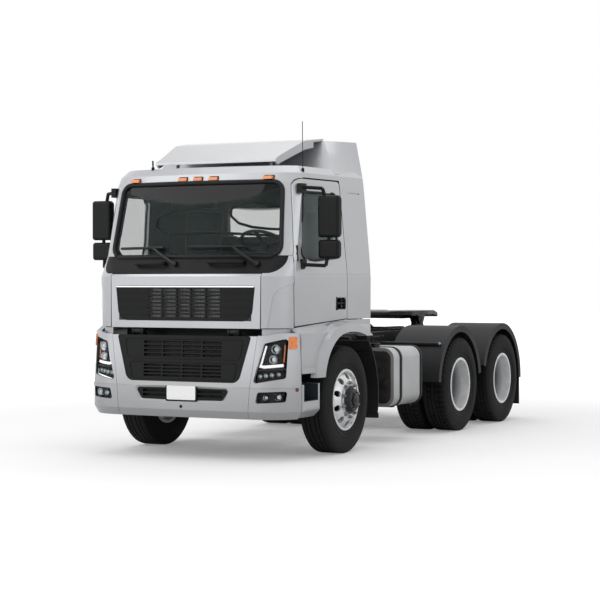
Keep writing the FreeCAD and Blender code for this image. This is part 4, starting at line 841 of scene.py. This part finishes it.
def tyre(bm, pitch, count, x, y):
    """Adds a whole tyre from its repeats."""
    for k in range(count):
        have = len(bm.verts)
        bm.from_mesh(pitch)
        bm.verts.ensure_lookup_table()
        fresh = bm.verts[have:]
        bmesh.ops.rotate(bm, cent=(0, 0, 0), matrix=Matrix.Rotation(math.tau * k / count, 3, "X"),
                         verts=fresh)
        bmesh.ops.translate(bm, vec=(x, y, AXLE_Z), verts=fresh)


STEER_PITCHES, DRIVE_PITCHES = 40, 56
GAP = 1.1                                           # the groove between two blocks, in degrees
rib_pitch = one_pitch((0.028, 0.070), 0.0055, ((360 / STEER_PITCHES, 3),), ())
block_pitch = one_pitch((0.022, 0.066), 0.0050, ((GAP, 1), (360 / DRIVE_PITCHES - GAP, 2)),
                        ((0.072, 0.130, 0.012), (0.028, 0.060, 0.006)))
for side, sign in SIDES:
    bm = bmesh.new()
    tyre(bm, rib_pitch, STEER_PITCHES, sign * 1.007, STEER_Y)
    made = piece("steer_tyre_" + side, bm, tyre_rubber, "front_wheel_" + side, 40)
    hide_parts("front_tyre_" + side)
    for number, y in enumerate(DRIVE_Y, 1):
        bm = bmesh.new()
        for x in (1.085, 0.755):
            tyre(bm, block_pitch, DRIVE_PITCHES, sign * x, y)
        made = piece("twin_tyres_%d_%s" % (number, side), bm, tyre_rubber,
                     "drive_wheels_%d_%s" % (number, side), 40)
        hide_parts("drive_tyres_%d_%s" % (number, side))


# ---- Wheels ------------------------------------------------------------------------
# Forged aluminium discs, turned and polished, with faint stains and painted shade deeper in the dish.
# The hubs are cast iron under black paint; nuts and studs are plated.
def wheel_metal(name, y, bright, stain_and_shade_tone, metallic, rough, shade_span):
    """Turned metal about a wheel's axis, with a dark painted hub in its middle."""
    material, tree, shader, where = surface(name, {}, None)
    centred = add(tree, "Mapping", {"Location": (0, -y, -AXLE_Z), 0: where})
    flat = add(tree, "VectorMath", {"operation": "MULTIPLY", 0: centred, 1: (0, 1, 1)})
    radius = add(tree, "VectorMath", {"operation": "LENGTH", 0: flat}).outputs["Value"]
    cloud = add(tree, "TexNoise", {"Scale": 9.0, "Detail": 5.0, "Vector": where})
    stain = add(tree, "MapRange", {"From Min": 0.35, "From Max": 0.72, "Value": cloud})
    # painted shade: the deeper in the dish, the darker
    deep = add(tree, "MapRange", {"From Min": shade_span[0], "From Max": shade_span[1],
                                  "Value": part(tree, where, "X", True)})
    faint = add(tree, "Math", {"operation": "MULTIPLY", 0: stain, 1: 0.35})
    dirt_and_shade = add(tree, "Math", {"operation": "MAXIMUM", 0: faint, 1: deep})
    tone = add(tree, "Mix", {"data_type": "RGBA", 0: dirt_and_shade, 6: linear(bright), 7: linear(stain_and_shade_tone)})
    tree.links.new(tone.outputs[2], shader.inputs["Base Color"])
    hub = add(tree, "MapRange", {"From Min": HUB_RADIUS - 0.001, "From Max": HUB_RADIUS + 0.001,
                                 "To Min": 1.0, "To Max": 0.0, "Value": radius})
    tinted(tree, shader, hub, "26272A")
    metal = add(tree, "MapRange", {"To Min": metallic, "To Max": 0.15, "Value": hub})
    tree.links.new(metal.outputs[0], shader.inputs["Metallic"])
    worn = add(tree, "MapRange", {"To Min": rough, "To Max": rough + 0.14, "Value": stain})
    hubbed = add(tree, "Math", {"operation": "MAXIMUM", 0: worn, 1: hub})
    held = add(tree, "Math", {"operation": "MINIMUM", 0: hubbed, 1: 0.52})
    tree.links.new(held.outputs[0], shader.inputs["Roughness"])
    return material


HUB_RADIUS = 0.1395
plated_steel = surface("zinc_plated_steel", {"Metallic": 1.0}, ("8E9092", "B8BABB", 12),
                       rough=(0.24, 0.42))[0]
finish(wheel_metal("satin_aluminium_steer_wheel", STEER_Y, "DCDDDE", "B4B5B6", 0.75, 0.27, (1.05, 0.95)),
       "front_rim_left", "front_rim_right")
for number, y in enumerate(DRIVE_Y, 1):
    metal = wheel_metal("satin_aluminium_drive_wheel_%d" % number, y, "EEEFF0", "8C8D8F", 0.2, 0.3,
                        (1.14, 1.04))
    finish(metal, "drive_rims_%d_left" % number, "drive_rims_%d_right" % number)


def outward(bm, verts, sign, place):
    """Turns what stands on Z to face out along X, and sets it in its place."""
    turn = Matrix.Rotation(sign * math.pi / 2, 3, "Y")
    bmesh.ops.rotate(bm, cent=(0, 0, 0), matrix=turn, verts=verts)
    bmesh.ops.translate(bm, vec=place, verts=verts)


def nuts(bm, count, circle, x, y, sign, size, length, end, turn=0.0):
    """Adds a circle of flanged six-sided nuts on their studs, facing out along X."""
    for k in range(count):
        a = math.tau * (k + turn) / count
        fresh = []
        for sides, radius, tip, near, far in (
                (16, size * 1.25, size * 1.25, 0.0, length * 0.18),
                (6, size, size * 0.97, length * 0.18, length),
                (10, size * 0.45, size * 0.45, length, length + end)):
            made = stud(bm, sides, radius, tip, far - near)
            bmesh.ops.translate(bm, vec=(0, 0, (near + far) / 2), verts=made)
            fresh += made
        outward(bm, fresh, sign, (x, y + circle * math.sin(a), AXLE_Z + circle * math.cos(a)))


VALVE = 0.62                                        # where the valve stands, as an angle
for side, sign in SIDES:
    body = "front_wheel_" + side
    bm = bmesh.new()
    nuts(bm, 10, 0.1650, sign * 1.170, STEER_Y, sign, 0.0175, 0.026, 0.012)
    piece("steer_wheel_nuts_" + side, bm, plated_steel, body, 30)
    bm = bmesh.new()
    lathe(bm, [(1.230, 0.0), (1.236, 0.060), (1.238, 0.064), (1.243, 0.064), (1.246, 0.058),
               (1.247, 0.020), (1.251, 0.018), (1.251, 0.0)], (0, STEER_Y, AXLE_Z), "X", 40, sign)
    nuts(bm, 6, 0.082, sign * 1.2315, STEER_Y, sign, 0.0075, 0.008, 0.002, 0.5)
    piece("steer_hub_cap_" + side, bm, satin_black, body, 30)
    bm = bmesh.new()
    tube(bm, [(sign * x, STEER_Y + r * math.sin(VALVE), AXLE_Z + r * math.cos(VALVE))
              for x, r in ((1.150, 0.262), (1.166, 0.244))], 0.0045)
    piece("steer_valve_" + side, bm, plated_steel, body, 30)
    for number, y in enumerate(DRIVE_Y, 1):
        body = "drive_wheels_%d_%s" % (number, side)
        bm = bmesh.new()
        nuts(bm, 10, 0.1650, sign * 0.934, y, sign, 0.0175, 0.028, 0.014)
        nuts(bm, 10, 0.0950, sign * 1.062, y, sign, 0.0085, 0.014, 0.004)
        piece("drive_wheel_nuts_%d_%s" % (number, side), bm, plated_steel, body, 30)
        bm = bmesh.new()
        lathe(bm, [(1.060, 0.112), (1.070, 0.112), (1.074, 0.106), (1.074, 0.078), (1.086, 0.070),
                   (1.092, 0.058), (1.094, 0.0)], (0, y, AXLE_Z), "X", 40, sign)
        lathe(bm, [(1.060, 0.112), (1.060, 0.0)], (0, y, AXLE_Z), "X", 40, sign)
        piece("axle_flange_%d_%s" % (number, side), bm, satin_black, body, 30)


# ---- Mudguards ---------------------------------------------------------------------
# Rotation-moulded black guards, dusty low down, on tubular stays that are each closed
# by a plated bolt.
guard_moulding = surface("dusty_black_guard_moulding",
                         {"Roughness": 0.55, "Specular IOR Level": 0.3}, ("121316", "1A1B1E", 350),
                         ("34322F", 0.9, 0.2, 0.35), grain=(6, 0.08, 0.4))[0]
finish(guard_moulding, "mudguards")

for side, sign in SIDES:
    bm = bmesh.new()
    for y in (0.551, 2.871):
        lathe(bm, [(0.0, 0.0), (0.0, 0.024), (0.006, 0.024), (0.006, 0.015), (0.020, 0.014),
                   (0.024, 0.0)], (sign * 1.150, y, 0.985), "X", 12, sign)
        lathe(bm, [(0.0, 0.0), (0.0, 0.012), (0.010, 0.011), (0.012, 0.0)],
              (sign * 1.130, y + 0.010, 0.930), "X", 8, sign)
    piece("guard_stay_bolts_" + side, bm, plated_steel, "chassis", 30)


# ---- Frame -------------------------------------------------------------------------
# Pressed channel rails and crossmembers under satin black enamel, dulled by road dust
# low down, with rows of bolts where brackets meet the webs.
chassis_enamel = surface("satin_black_chassis_enamel", {"Specular IOR Level": 0.35},
                         ("0A0B0C", "131415", 260), ("2C2A28", 0.95, 0.35, 0.3),
                         (0.42, 0.62), (20, 0.05, 0.25))[0]
finish(chassis_enamel, "chassis_frame", "air_tanks", "coupling_base", "transmission", "front_axle",
       "knuckle_left", "knuckle_right", "tie_rod", "drive_axles", "springs")

RAIL_FACE = 0.425
ANGLE_FACE = 0.433
# rows of bolts: first y, last y, how many, heights
BOLT_ROWS = ((-1.20, -0.86, 5, (0.90, 1.06)), (-0.08, 0.08, 3, (0.88, 0.96, 1.06)),
             (0.30, 0.50, 4, (0.90, 1.06)), (0.56, 0.66, 2, (0.88, 0.96, 1.06)),
             (0.86, 1.22, 7, (0.90,)), (1.36, 1.56, 4, (0.93, 1.03)), (1.86, 2.08, 4, (0.93, 1.03)),
             (2.20, 2.60, 7, (0.90,)), (2.84, 3.00, 4, (0.90, 1.06)))


def bolts(bm, places, sign, size=0.010, length=0.009):
    """Adds six-sided bolt heads standing out along X."""
    for x, y, z in places:
        outward(bm, stud(bm, 6, size, size * 0.94, length), sign, (x + sign * length / 2, y, z))


for side, sign in SIDES:
    bm = bmesh.new()
    bolts(bm, [(sign * RAIL_FACE, y0 + (y1 - y0) * i / (count - 1), z)
               for y0, y1, count, heights in BOLT_ROWS for z in heights for i in range(count)], sign)
    piece("rail_bolts_" + side, bm, plated_steel, "chassis", 30)

    # angles that carry the coupling's base plate on the rail
    bm = bmesh.new()
    slab(bm, [(sign * x, z) for x, z in ((RAIL_FACE, 1.02), (ANGLE_FACE, 1.02), (ANGLE_FACE, 1.102),
                                         (0.478, 1.102), (0.478, 1.110), (RAIL_FACE, 1.110))],
         "Y", 1.346, 2.086, 0.001, 1)
    piece("coupling_angle_" + side, bm, chassis_enamel, "chassis", 30)
    bm = bmesh.new()
    bolts(bm, [(sign * ANGLE_FACE, 1.39 + 0.0723 * i, 1.065) for i in range(10)], sign)
    piece("coupling_angle_bolts_" + side, bm, plated_steel, "chassis", 30)


# ---- Springs and axles -------------------------------------------------------------
# The springs and axles share the frame's enamel. Forged U-bolts clamp the leaf packs
# to the axle pads, nuts underneath.
bm = bmesh.new()
for sign in (1, -1):
    for y in (STEER_Y - 0.060, STEER_Y + 0.060):
        x0, x1 = sign * 0.380 - 0.056, sign * 0.380 + 0.056
        tube(bm, [(x0, y, 0.440), (x0, y, 0.582), (x0 + 0.012, y, 0.594), (x1 - 0.012, y, 0.594),
                  (x1, y, 0.582), (x1, y, 0.440)], 0.009, round_corners=False)
        for x in (x0, x1):
            bmesh.ops.translate(bm, vec=(x, y, 0.452), verts=stud(bm, 6, 0.016, 0.016, 0.018))
piece("steer_spring_u_bolts", bm, chassis_enamel, "chassis", 30)


# ---- Engine and what stands by it --------------------------------------------------
# Cast iron and pressed covers under one coat of grey paint, oily and dusty in use. The
# radiator core is dark finned aluminium.
cast_iron = surface("painted_grey_cast_iron", {"Metallic": 0.2}, ("4A4D50", "666A6E", 160),
                    rough=(0.48, 0.7), grain=(6, 0.25, 0.5))[0]
finish(cast_iron, "engine")

finned_core, tree, shader, where = surface("finned_radiator_core",
                                           {"Roughness": 0.5, "Metallic": 0.3}, ("101113", "1B1C1E", 120))
# fins 3 mm apart, run across the width
raised(tree, shader, add(tree, "TexWave", {"Scale": 1000 / 3 / math.tau, "bands_direction": "Z",
                                           "Vector": where}), 0.5, 1.0)
finish(finned_core, "radiator")


# ---- Fuel tank ---------------------------------------------------------------------
# Rolled aluminium sheet with a pressed front end, which road dirt has darkened. Two
# straps on rubber hold it to its cradles; the filler has a screw cap.
tank_sheet, tree, shader, where = surface(
    "mill_finish_aluminium_sheet", {"Metallic": 0.55}, ("A9ABAC", "BABCBD", 300),
    ("8C8880", 0.62, 0.36, 0.55), (0.34, 0.48))
# rolling marks run round the sheet
stretched = add(tree, "Mapping", {"Scale": (1.0, 90.0, 1.0), 0: where})
raised(tree, shader, add(tree, "TexNoise", {"Scale": 12.0, "Detail": 2.0, "Vector": stretched}), 0.12, 0.3)
finish(tank_sheet, "fuel_tank")

dirty_end, tree, shader, where = surface(
    "dirt_caked_tank_end", {"Metallic": 0.2}, ("121213", "2A2724", 90, 6.0), rough=(0.42, 0.7),
    grain=(25, 0.8, 0.5))
rust = add(tree, "TexNoise", {"Scale": 7.0, "Detail": 6.0, "Distortion": 1.0, "Vector": where})
spots = add(tree, "MapRange", {"From Min": 0.60, "From Max": 0.72, "Value": rust})
tinted(tree, shader, spots, "4E3023")

TANK_FRONT = -0.699


def tank_outline(out):
    """The tank's section, grown outwards by a distance."""
    return rounded([(0.560 - out, 0.984 + out, 0.060 + out), (1.150 + out, 0.984 + out, 0.110 + out),
                    (1.150 + out, 0.374 - out, 0.110 + out), (0.560 - out, 0.374 - out, 0.060 + out)], 8)


bm = bmesh.new()
slab(bm, tank_outline(-0.034), "Y", TANK_FRONT - 0.004, TANK_FRONT + 0.004, 0.002)
slab(bm, tank_outline(-0.110), "Y", TANK_FRONT - 0.009, TANK_FRONT - 0.003, 0.003)
piece("tank_end_plate", bm, dirty_end, "chassis", 40)

strap_rubber = surface("black_strap_rubber", {"Roughness": 0.55, "Specular IOR Level": 0.3},
                       ("0A0B0C", "131415", 60))[0]
bm = bmesh.new()
for y in (-0.514, 0.026):
    slab(bm, tank_outline(0.005), "Y", y - 0.030, y + 0.030, 0.002)
    slab(bm, tank_outline(0.009), "Y", y - 0.021, y + 0.021, 0.002)
    lathe(bm, [(0.0, 0.0), (0.0, 0.012), (0.05, 0.012), (0.05, 0.0)], (0.60, y, 0.985), "Z", 10)
piece("tank_straps", bm, strap_rubber, "chassis", 40)

bm = bmesh.new()
lathe(bm, [(0.0, 0.052), (0.018, 0.050), (0.020, 0.056), (0.044, 0.056), (0.050, 0.050), (0.050, 0.0)],
      (0.900, -0.620, 0.983), "Z", 24)
block(bm, (0.856, -0.626, 1.030), (0.944, -0.614, 1.044), 0.003)
piece("tank_filler_cap", bm, satin_black, "chassis")
bm = bmesh.new()
lathe(bm, [(0.0, 0.020), (0.014, 0.018), (0.016, 0.0)], (0.720, -0.300, 0.984), "Z", 16)
lathe(bm, [(0.0, 0.030), (0.006, 0.030), (0.008, 0.0)], (0.720, -0.160, 0.984), "Z", 16)
piece("tank_fittings", bm, plated_steel, "chassis")


# ---- Battery box and silencer ------------------------------------------------------
# The battery box is a black moulding under two straps. The silencer is aluminised
# steel, browned by heat towards its rear end, with rolled bands round it.
bm = bmesh.new()
for y in (-0.600, -0.378):
    slab(bm, rounded([(-1.155, 0.455, 0.044), (-1.155, 0.965, 0.064), (-0.555, 0.985, 0.044),
                      (-0.555, 0.455, 0.044)]), "Y", y - 0.018, y + 0.018, 0.002)
piece("battery_box_straps", bm, strap_rubber, "chassis", 40)

heated_steel, tree, shader, where = surface(
    "heat_browned_aluminised_steel", {"Metallic": 0.8}, ("7C7A77", "9B9A97", 180), rough=(0.36, 0.55))
warm = add(tree, "MapRange", {"From Min": 0.08, "From Max": 0.26, "To Max": 0.75,
                              "Value": part(tree, where, "Y")})
tinted(tree, shader, warm, "6B5643")
finish(heated_steel, "silencer")
bm = bmesh.new()
for y in (-0.195, -0.030, 0.090, 0.247):
    slab(bm, panel(-1.124, -0.596, 0.436, 0.954, 0.124, 8), "Y", y - 0.009, y + 0.009, 0.003)
piece("silencer_bands", bm, heated_steel, "chassis", 40)


# ---- Rear lamps --------------------------------------------------------------------
# One moulded lens each side in three coloured chambers, red outboard, then amber and
# clear, with fine upright prisms inside.
lamp_cluster, tree, shader, where = surface("three_chamber_acrylic_lens",
                                            {"Roughness": 0.15, "Coat Weight": 0.8}, None)
chambers = add(tree, "ValToRGB", {0: part(tree, where, "X", True)})
chambers.color_ramp.interpolation = "CONSTANT"
# where each chamber starts, and its colour
for at, code in ((0.30, "E9E4DC"), (0.370, "101011"), (0.374, "E07A18"), (0.455, "101011"),
                 (0.459, "A31616")):
    chambers.color_ramp.elements.new(at).color = linear(code)
tree.links.new(chambers.outputs[0], shader.inputs["Base Color"])
raised(tree, shader, add(tree, "TexWave", {"Scale": 1000 / 6 / math.tau, "bands_direction": "X",
                                           "Vector": where}), 0.4, 0.8)
finish(lamp_cluster, "rear_lamps")
bm = bmesh.new()
for sign in (1, -1):
    line = panel(sign * 0.297, sign * 0.583, 0.662, 0.768, 0.006, 3)
    tube(bm, [Vector((x, 3.050, z)) for x, z in dense(line, 0.1)], 0.006, closed=True)
piece("rear_lamp_rims", bm, black_moulding, "chassis")


# ---- Fifth wheel -------------------------------------------------------------------
# A cast steel plate, painted black and then worn bright and greased where trailers
# slide on it. The release handle is a bent bar that ends in a loop.
greased_steel, tree, shader, where = surface(
    "greased_worn_steel_plate", {"Metallic": 0.35}, ("0C0D0E", "1A1B1D", 150), rough=(0.28, 0.48))
near_top = add(tree, "MapRange", {"From Min": 1.326, "From Max": 1.330, "Value": part(tree, where, "Z")})
scrape = add(tree, "Mapping", {"Scale": (1.0, 0.12, 1.0), 0: where})
lines = add(tree, "TexNoise", {"Scale": 28.0, "Detail": 6.0, "Vector": scrape})
bare = add(tree, "MapRange", {"From Min": 0.56, "From Max": 0.68, "To Max": 0.6, "Value": lines})
worn = add(tree, "Math", {"operation": "MULTIPLY", 0: near_top, 1: bare})
tinted(tree, shader, worn, "5C5D5F")
finish(greased_steel, "fifth_wheel")
bm = bmesh.new()
tube(bm, [(x, y, 1.262) for x, y in ((0.335, 1.560), (0.400, 1.555), (0.500, 1.548), (0.545, 1.530),
                                     (0.560, 1.500), (0.545, 1.470), (0.515, 1.480), (0.510, 1.520))], 0.008)
piece("coupling_release_handle", bm, satin_black, "fifth_wheel_plate")
bm = bmesh.new()
for x in (-0.430, 0.430):
    for y in (1.380, 1.440, 1.992, 2.052):
        bmesh.ops.translate(bm, vec=(x, y, 1.133), verts=stud(bm, 6, 0.014, 0.013, 0.014))
piece("coupling_base_bolts", bm, plated_steel, "chassis", 30)


# ---- Inside the cab ----------------------------------------------------------------
# Two sprung seats in woven cloth on moulded black bases, filled and drawn in by their
# sewn channels, and a grained dashboard with its hood and vents.
seat_fabric, tree, shader, where = surface(
    "woven_charcoal_seat_cloth",
    {"Roughness": 0.85, "Sheen Weight": 0.25, "Specular IOR Level": 0.25}, ("292B2E", "35373B", 140))
# threads 2 mm apart, crossing
warp, weft = (add(tree, "TexWave", {"Scale": 1000 / 2 / math.tau, "bands_direction": way, "Vector": where})
              for way in "XZ")
raised(tree, shader, add(tree, "Math", {"operation": "MULTIPLY", 0: warp, 1: weft}), 0.5, 0.6)
seat_frame = surface("black_seat_moulding", {"Roughness": 0.55}, ("111214", "1A1B1D", 120),
                     grain=(3, 0.05, 0.4))[0]
STEPS = 20                                          # frames of the cloth simulation


def evaluated(pad):
    """The mesh of a pad with its modifiers applied."""
    graph = bpy.context.evaluated_depsgraph_get()
    return bpy.data.meshes.new_from_object(pad.evaluated_get(graph), depsgraph=graph)


def stuffed(outline, half_width, swell, channels):
    """A pad on the middle plane: its outline in (y, z) is filled by cloth under pressure."""
    bm = bmesh.new()
    slab(bm, outline, "X", -half_width, half_width, 0.022, 3)
    mesh = bpy.data.meshes.new("pad")
    bm.to_mesh(mesh)
    bm.free()
    pad = bpy.data.objects.new("pad", mesh)
    scene.collection.objects.link(pad)
    voxels = pad.modifiers.new("voxels", "REMESH")
    voxels.mode = "VOXEL"
    voxels.voxel_size = 0.008
    start = evaluated(pad)
    pad.modifiers.clear()
    pad.data = start
    before = [v.co.copy() for v in start.vertices]
    after = [v.co + v.normal * swell * 0.6 for v in start.vertices]
    cloth = pad.modifiers.new("cloth", "CLOTH")
    cloth.settings.use_pressure = True
    cloth.settings.uniform_pressure_force = 4.0
    cloth.settings.effector_weights.gravity = 0.0
    cloth.point_cache.frame_end = STEPS
    for number in range(1, STEPS + 1):
        scene.frame_set(number)
    filled = evaluated(pad)
    after = [v.co.copy() for v in filled.vertices]
    bpy.data.meshes.remove(filled)
    scene.frame_set(1)
    shape = []
    for old, new in zip(before, after):
        move = new - old
        place = old + move.normalized() * min(move.length, swell)
        for x in channels:                          # sewn channels draw the cover in
            near = max(0.0, 1.0 - abs(abs(place.x) - x) / 0.012)
            place -= move.normalized() * near * near * 0.009
        shape.append(place)
    faces = [tuple(p.vertices) for p in start.polygons]
    bpy.data.objects.remove(pad)
    return shape, faces


# name, outline in (y, z), half width, how far it swells, where its channels run
PADS = (("cushion", ((-2.150, 1.640), (-2.160, 1.700), (-2.110, 1.722), (-1.720, 1.712), (-1.705, 1.650),
                     (-1.760, 1.622), (-2.090, 1.622)), 0.222, 0.014, (0.135,)),
        ("backrest", ((-1.705, 1.705), (-1.570, 2.405), (-1.490, 2.405), (-1.612, 1.660), (-1.690, 1.660)),
         0.217, 0.014, (0.140,)),
        ("headrest", ((-1.545, 2.424), (-1.552, 2.530), (-1.520, 2.546), (-1.482, 2.540), (-1.480, 2.424)),
         0.112, 0.010, ()))
SEAT_X = 0.600
for kind, outline, half, swell, channels in PADS:
    shape, faces = stuffed(outline, half, swell, channels)
    for side, sign in SIDES:
        bm = bmesh.new()
        verts = [bm.verts.new(p + Vector((sign * SEAT_X, 0, 0))) for p in shape]
        for f in faces:
            bm.faces.new([verts[i] for i in f])
        made = piece("seat_%s_%s" % (kind, side), bm, seat_fabric, "cab", 60)
        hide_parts("seats")

for side, sign in SIDES:
    x = sign * SEAT_X
    bm = bmesh.new()
    block(bm, (x - 0.150, -2.090, 1.297), (x + 0.150, -1.660, 1.345), 0.012)
    for i in range(5):                              # the bellows over the spring
        grow = 0.006 * (i % 2)
        block(bm, (x - 0.128 - grow, -2.060 - grow, 1.345 + 0.050 * i),
              (x + 0.128 + grow, -1.690 + grow, 1.397 + 0.050 * i), 0.014)
    block(bm, (x - 0.205, -2.140, 1.590), (x + 0.205, -1.680, 1.618), 0.010)
    for off in (-0.055, 0.055):                     # the headrest's posts
        tube(bm, [(x + off, -1.540, 2.400), (x + off, -1.515, 2.450)], 0.007)
    tube(bm, [(x - 0.228, -2.060, 1.640), (x - 0.228, -1.700, 1.640), (x - 0.228, -1.640, 1.700)], 0.010)
    made = piece("seat_base_" + side, bm, seat_frame, "cab")
    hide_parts("seats")

dash_skin = surface("grained_charcoal_dashboard", {}, ("1F2123", "292B2E", 220), rough=(0.55, 0.68),
                    grain=(4, 0.08, 0.5))[0]
finish(dash_skin, "dashboard")
bm = bmesh.new()
block(bm, (0.380, -2.470, 1.862), (0.730, -2.440, 1.945), 0.018)
block(bm, (0.340, -2.620, 1.930), (0.770, -2.440, 1.950), 0.010)
for x in (-0.82, -0.45, 0.05, 0.90):
    block(bm, (x - 0.070, -2.500, 1.858), (x + 0.070, -2.484, 1.884), 0.004)
piece("instrument_hood", bm, seat_frame, "cab")
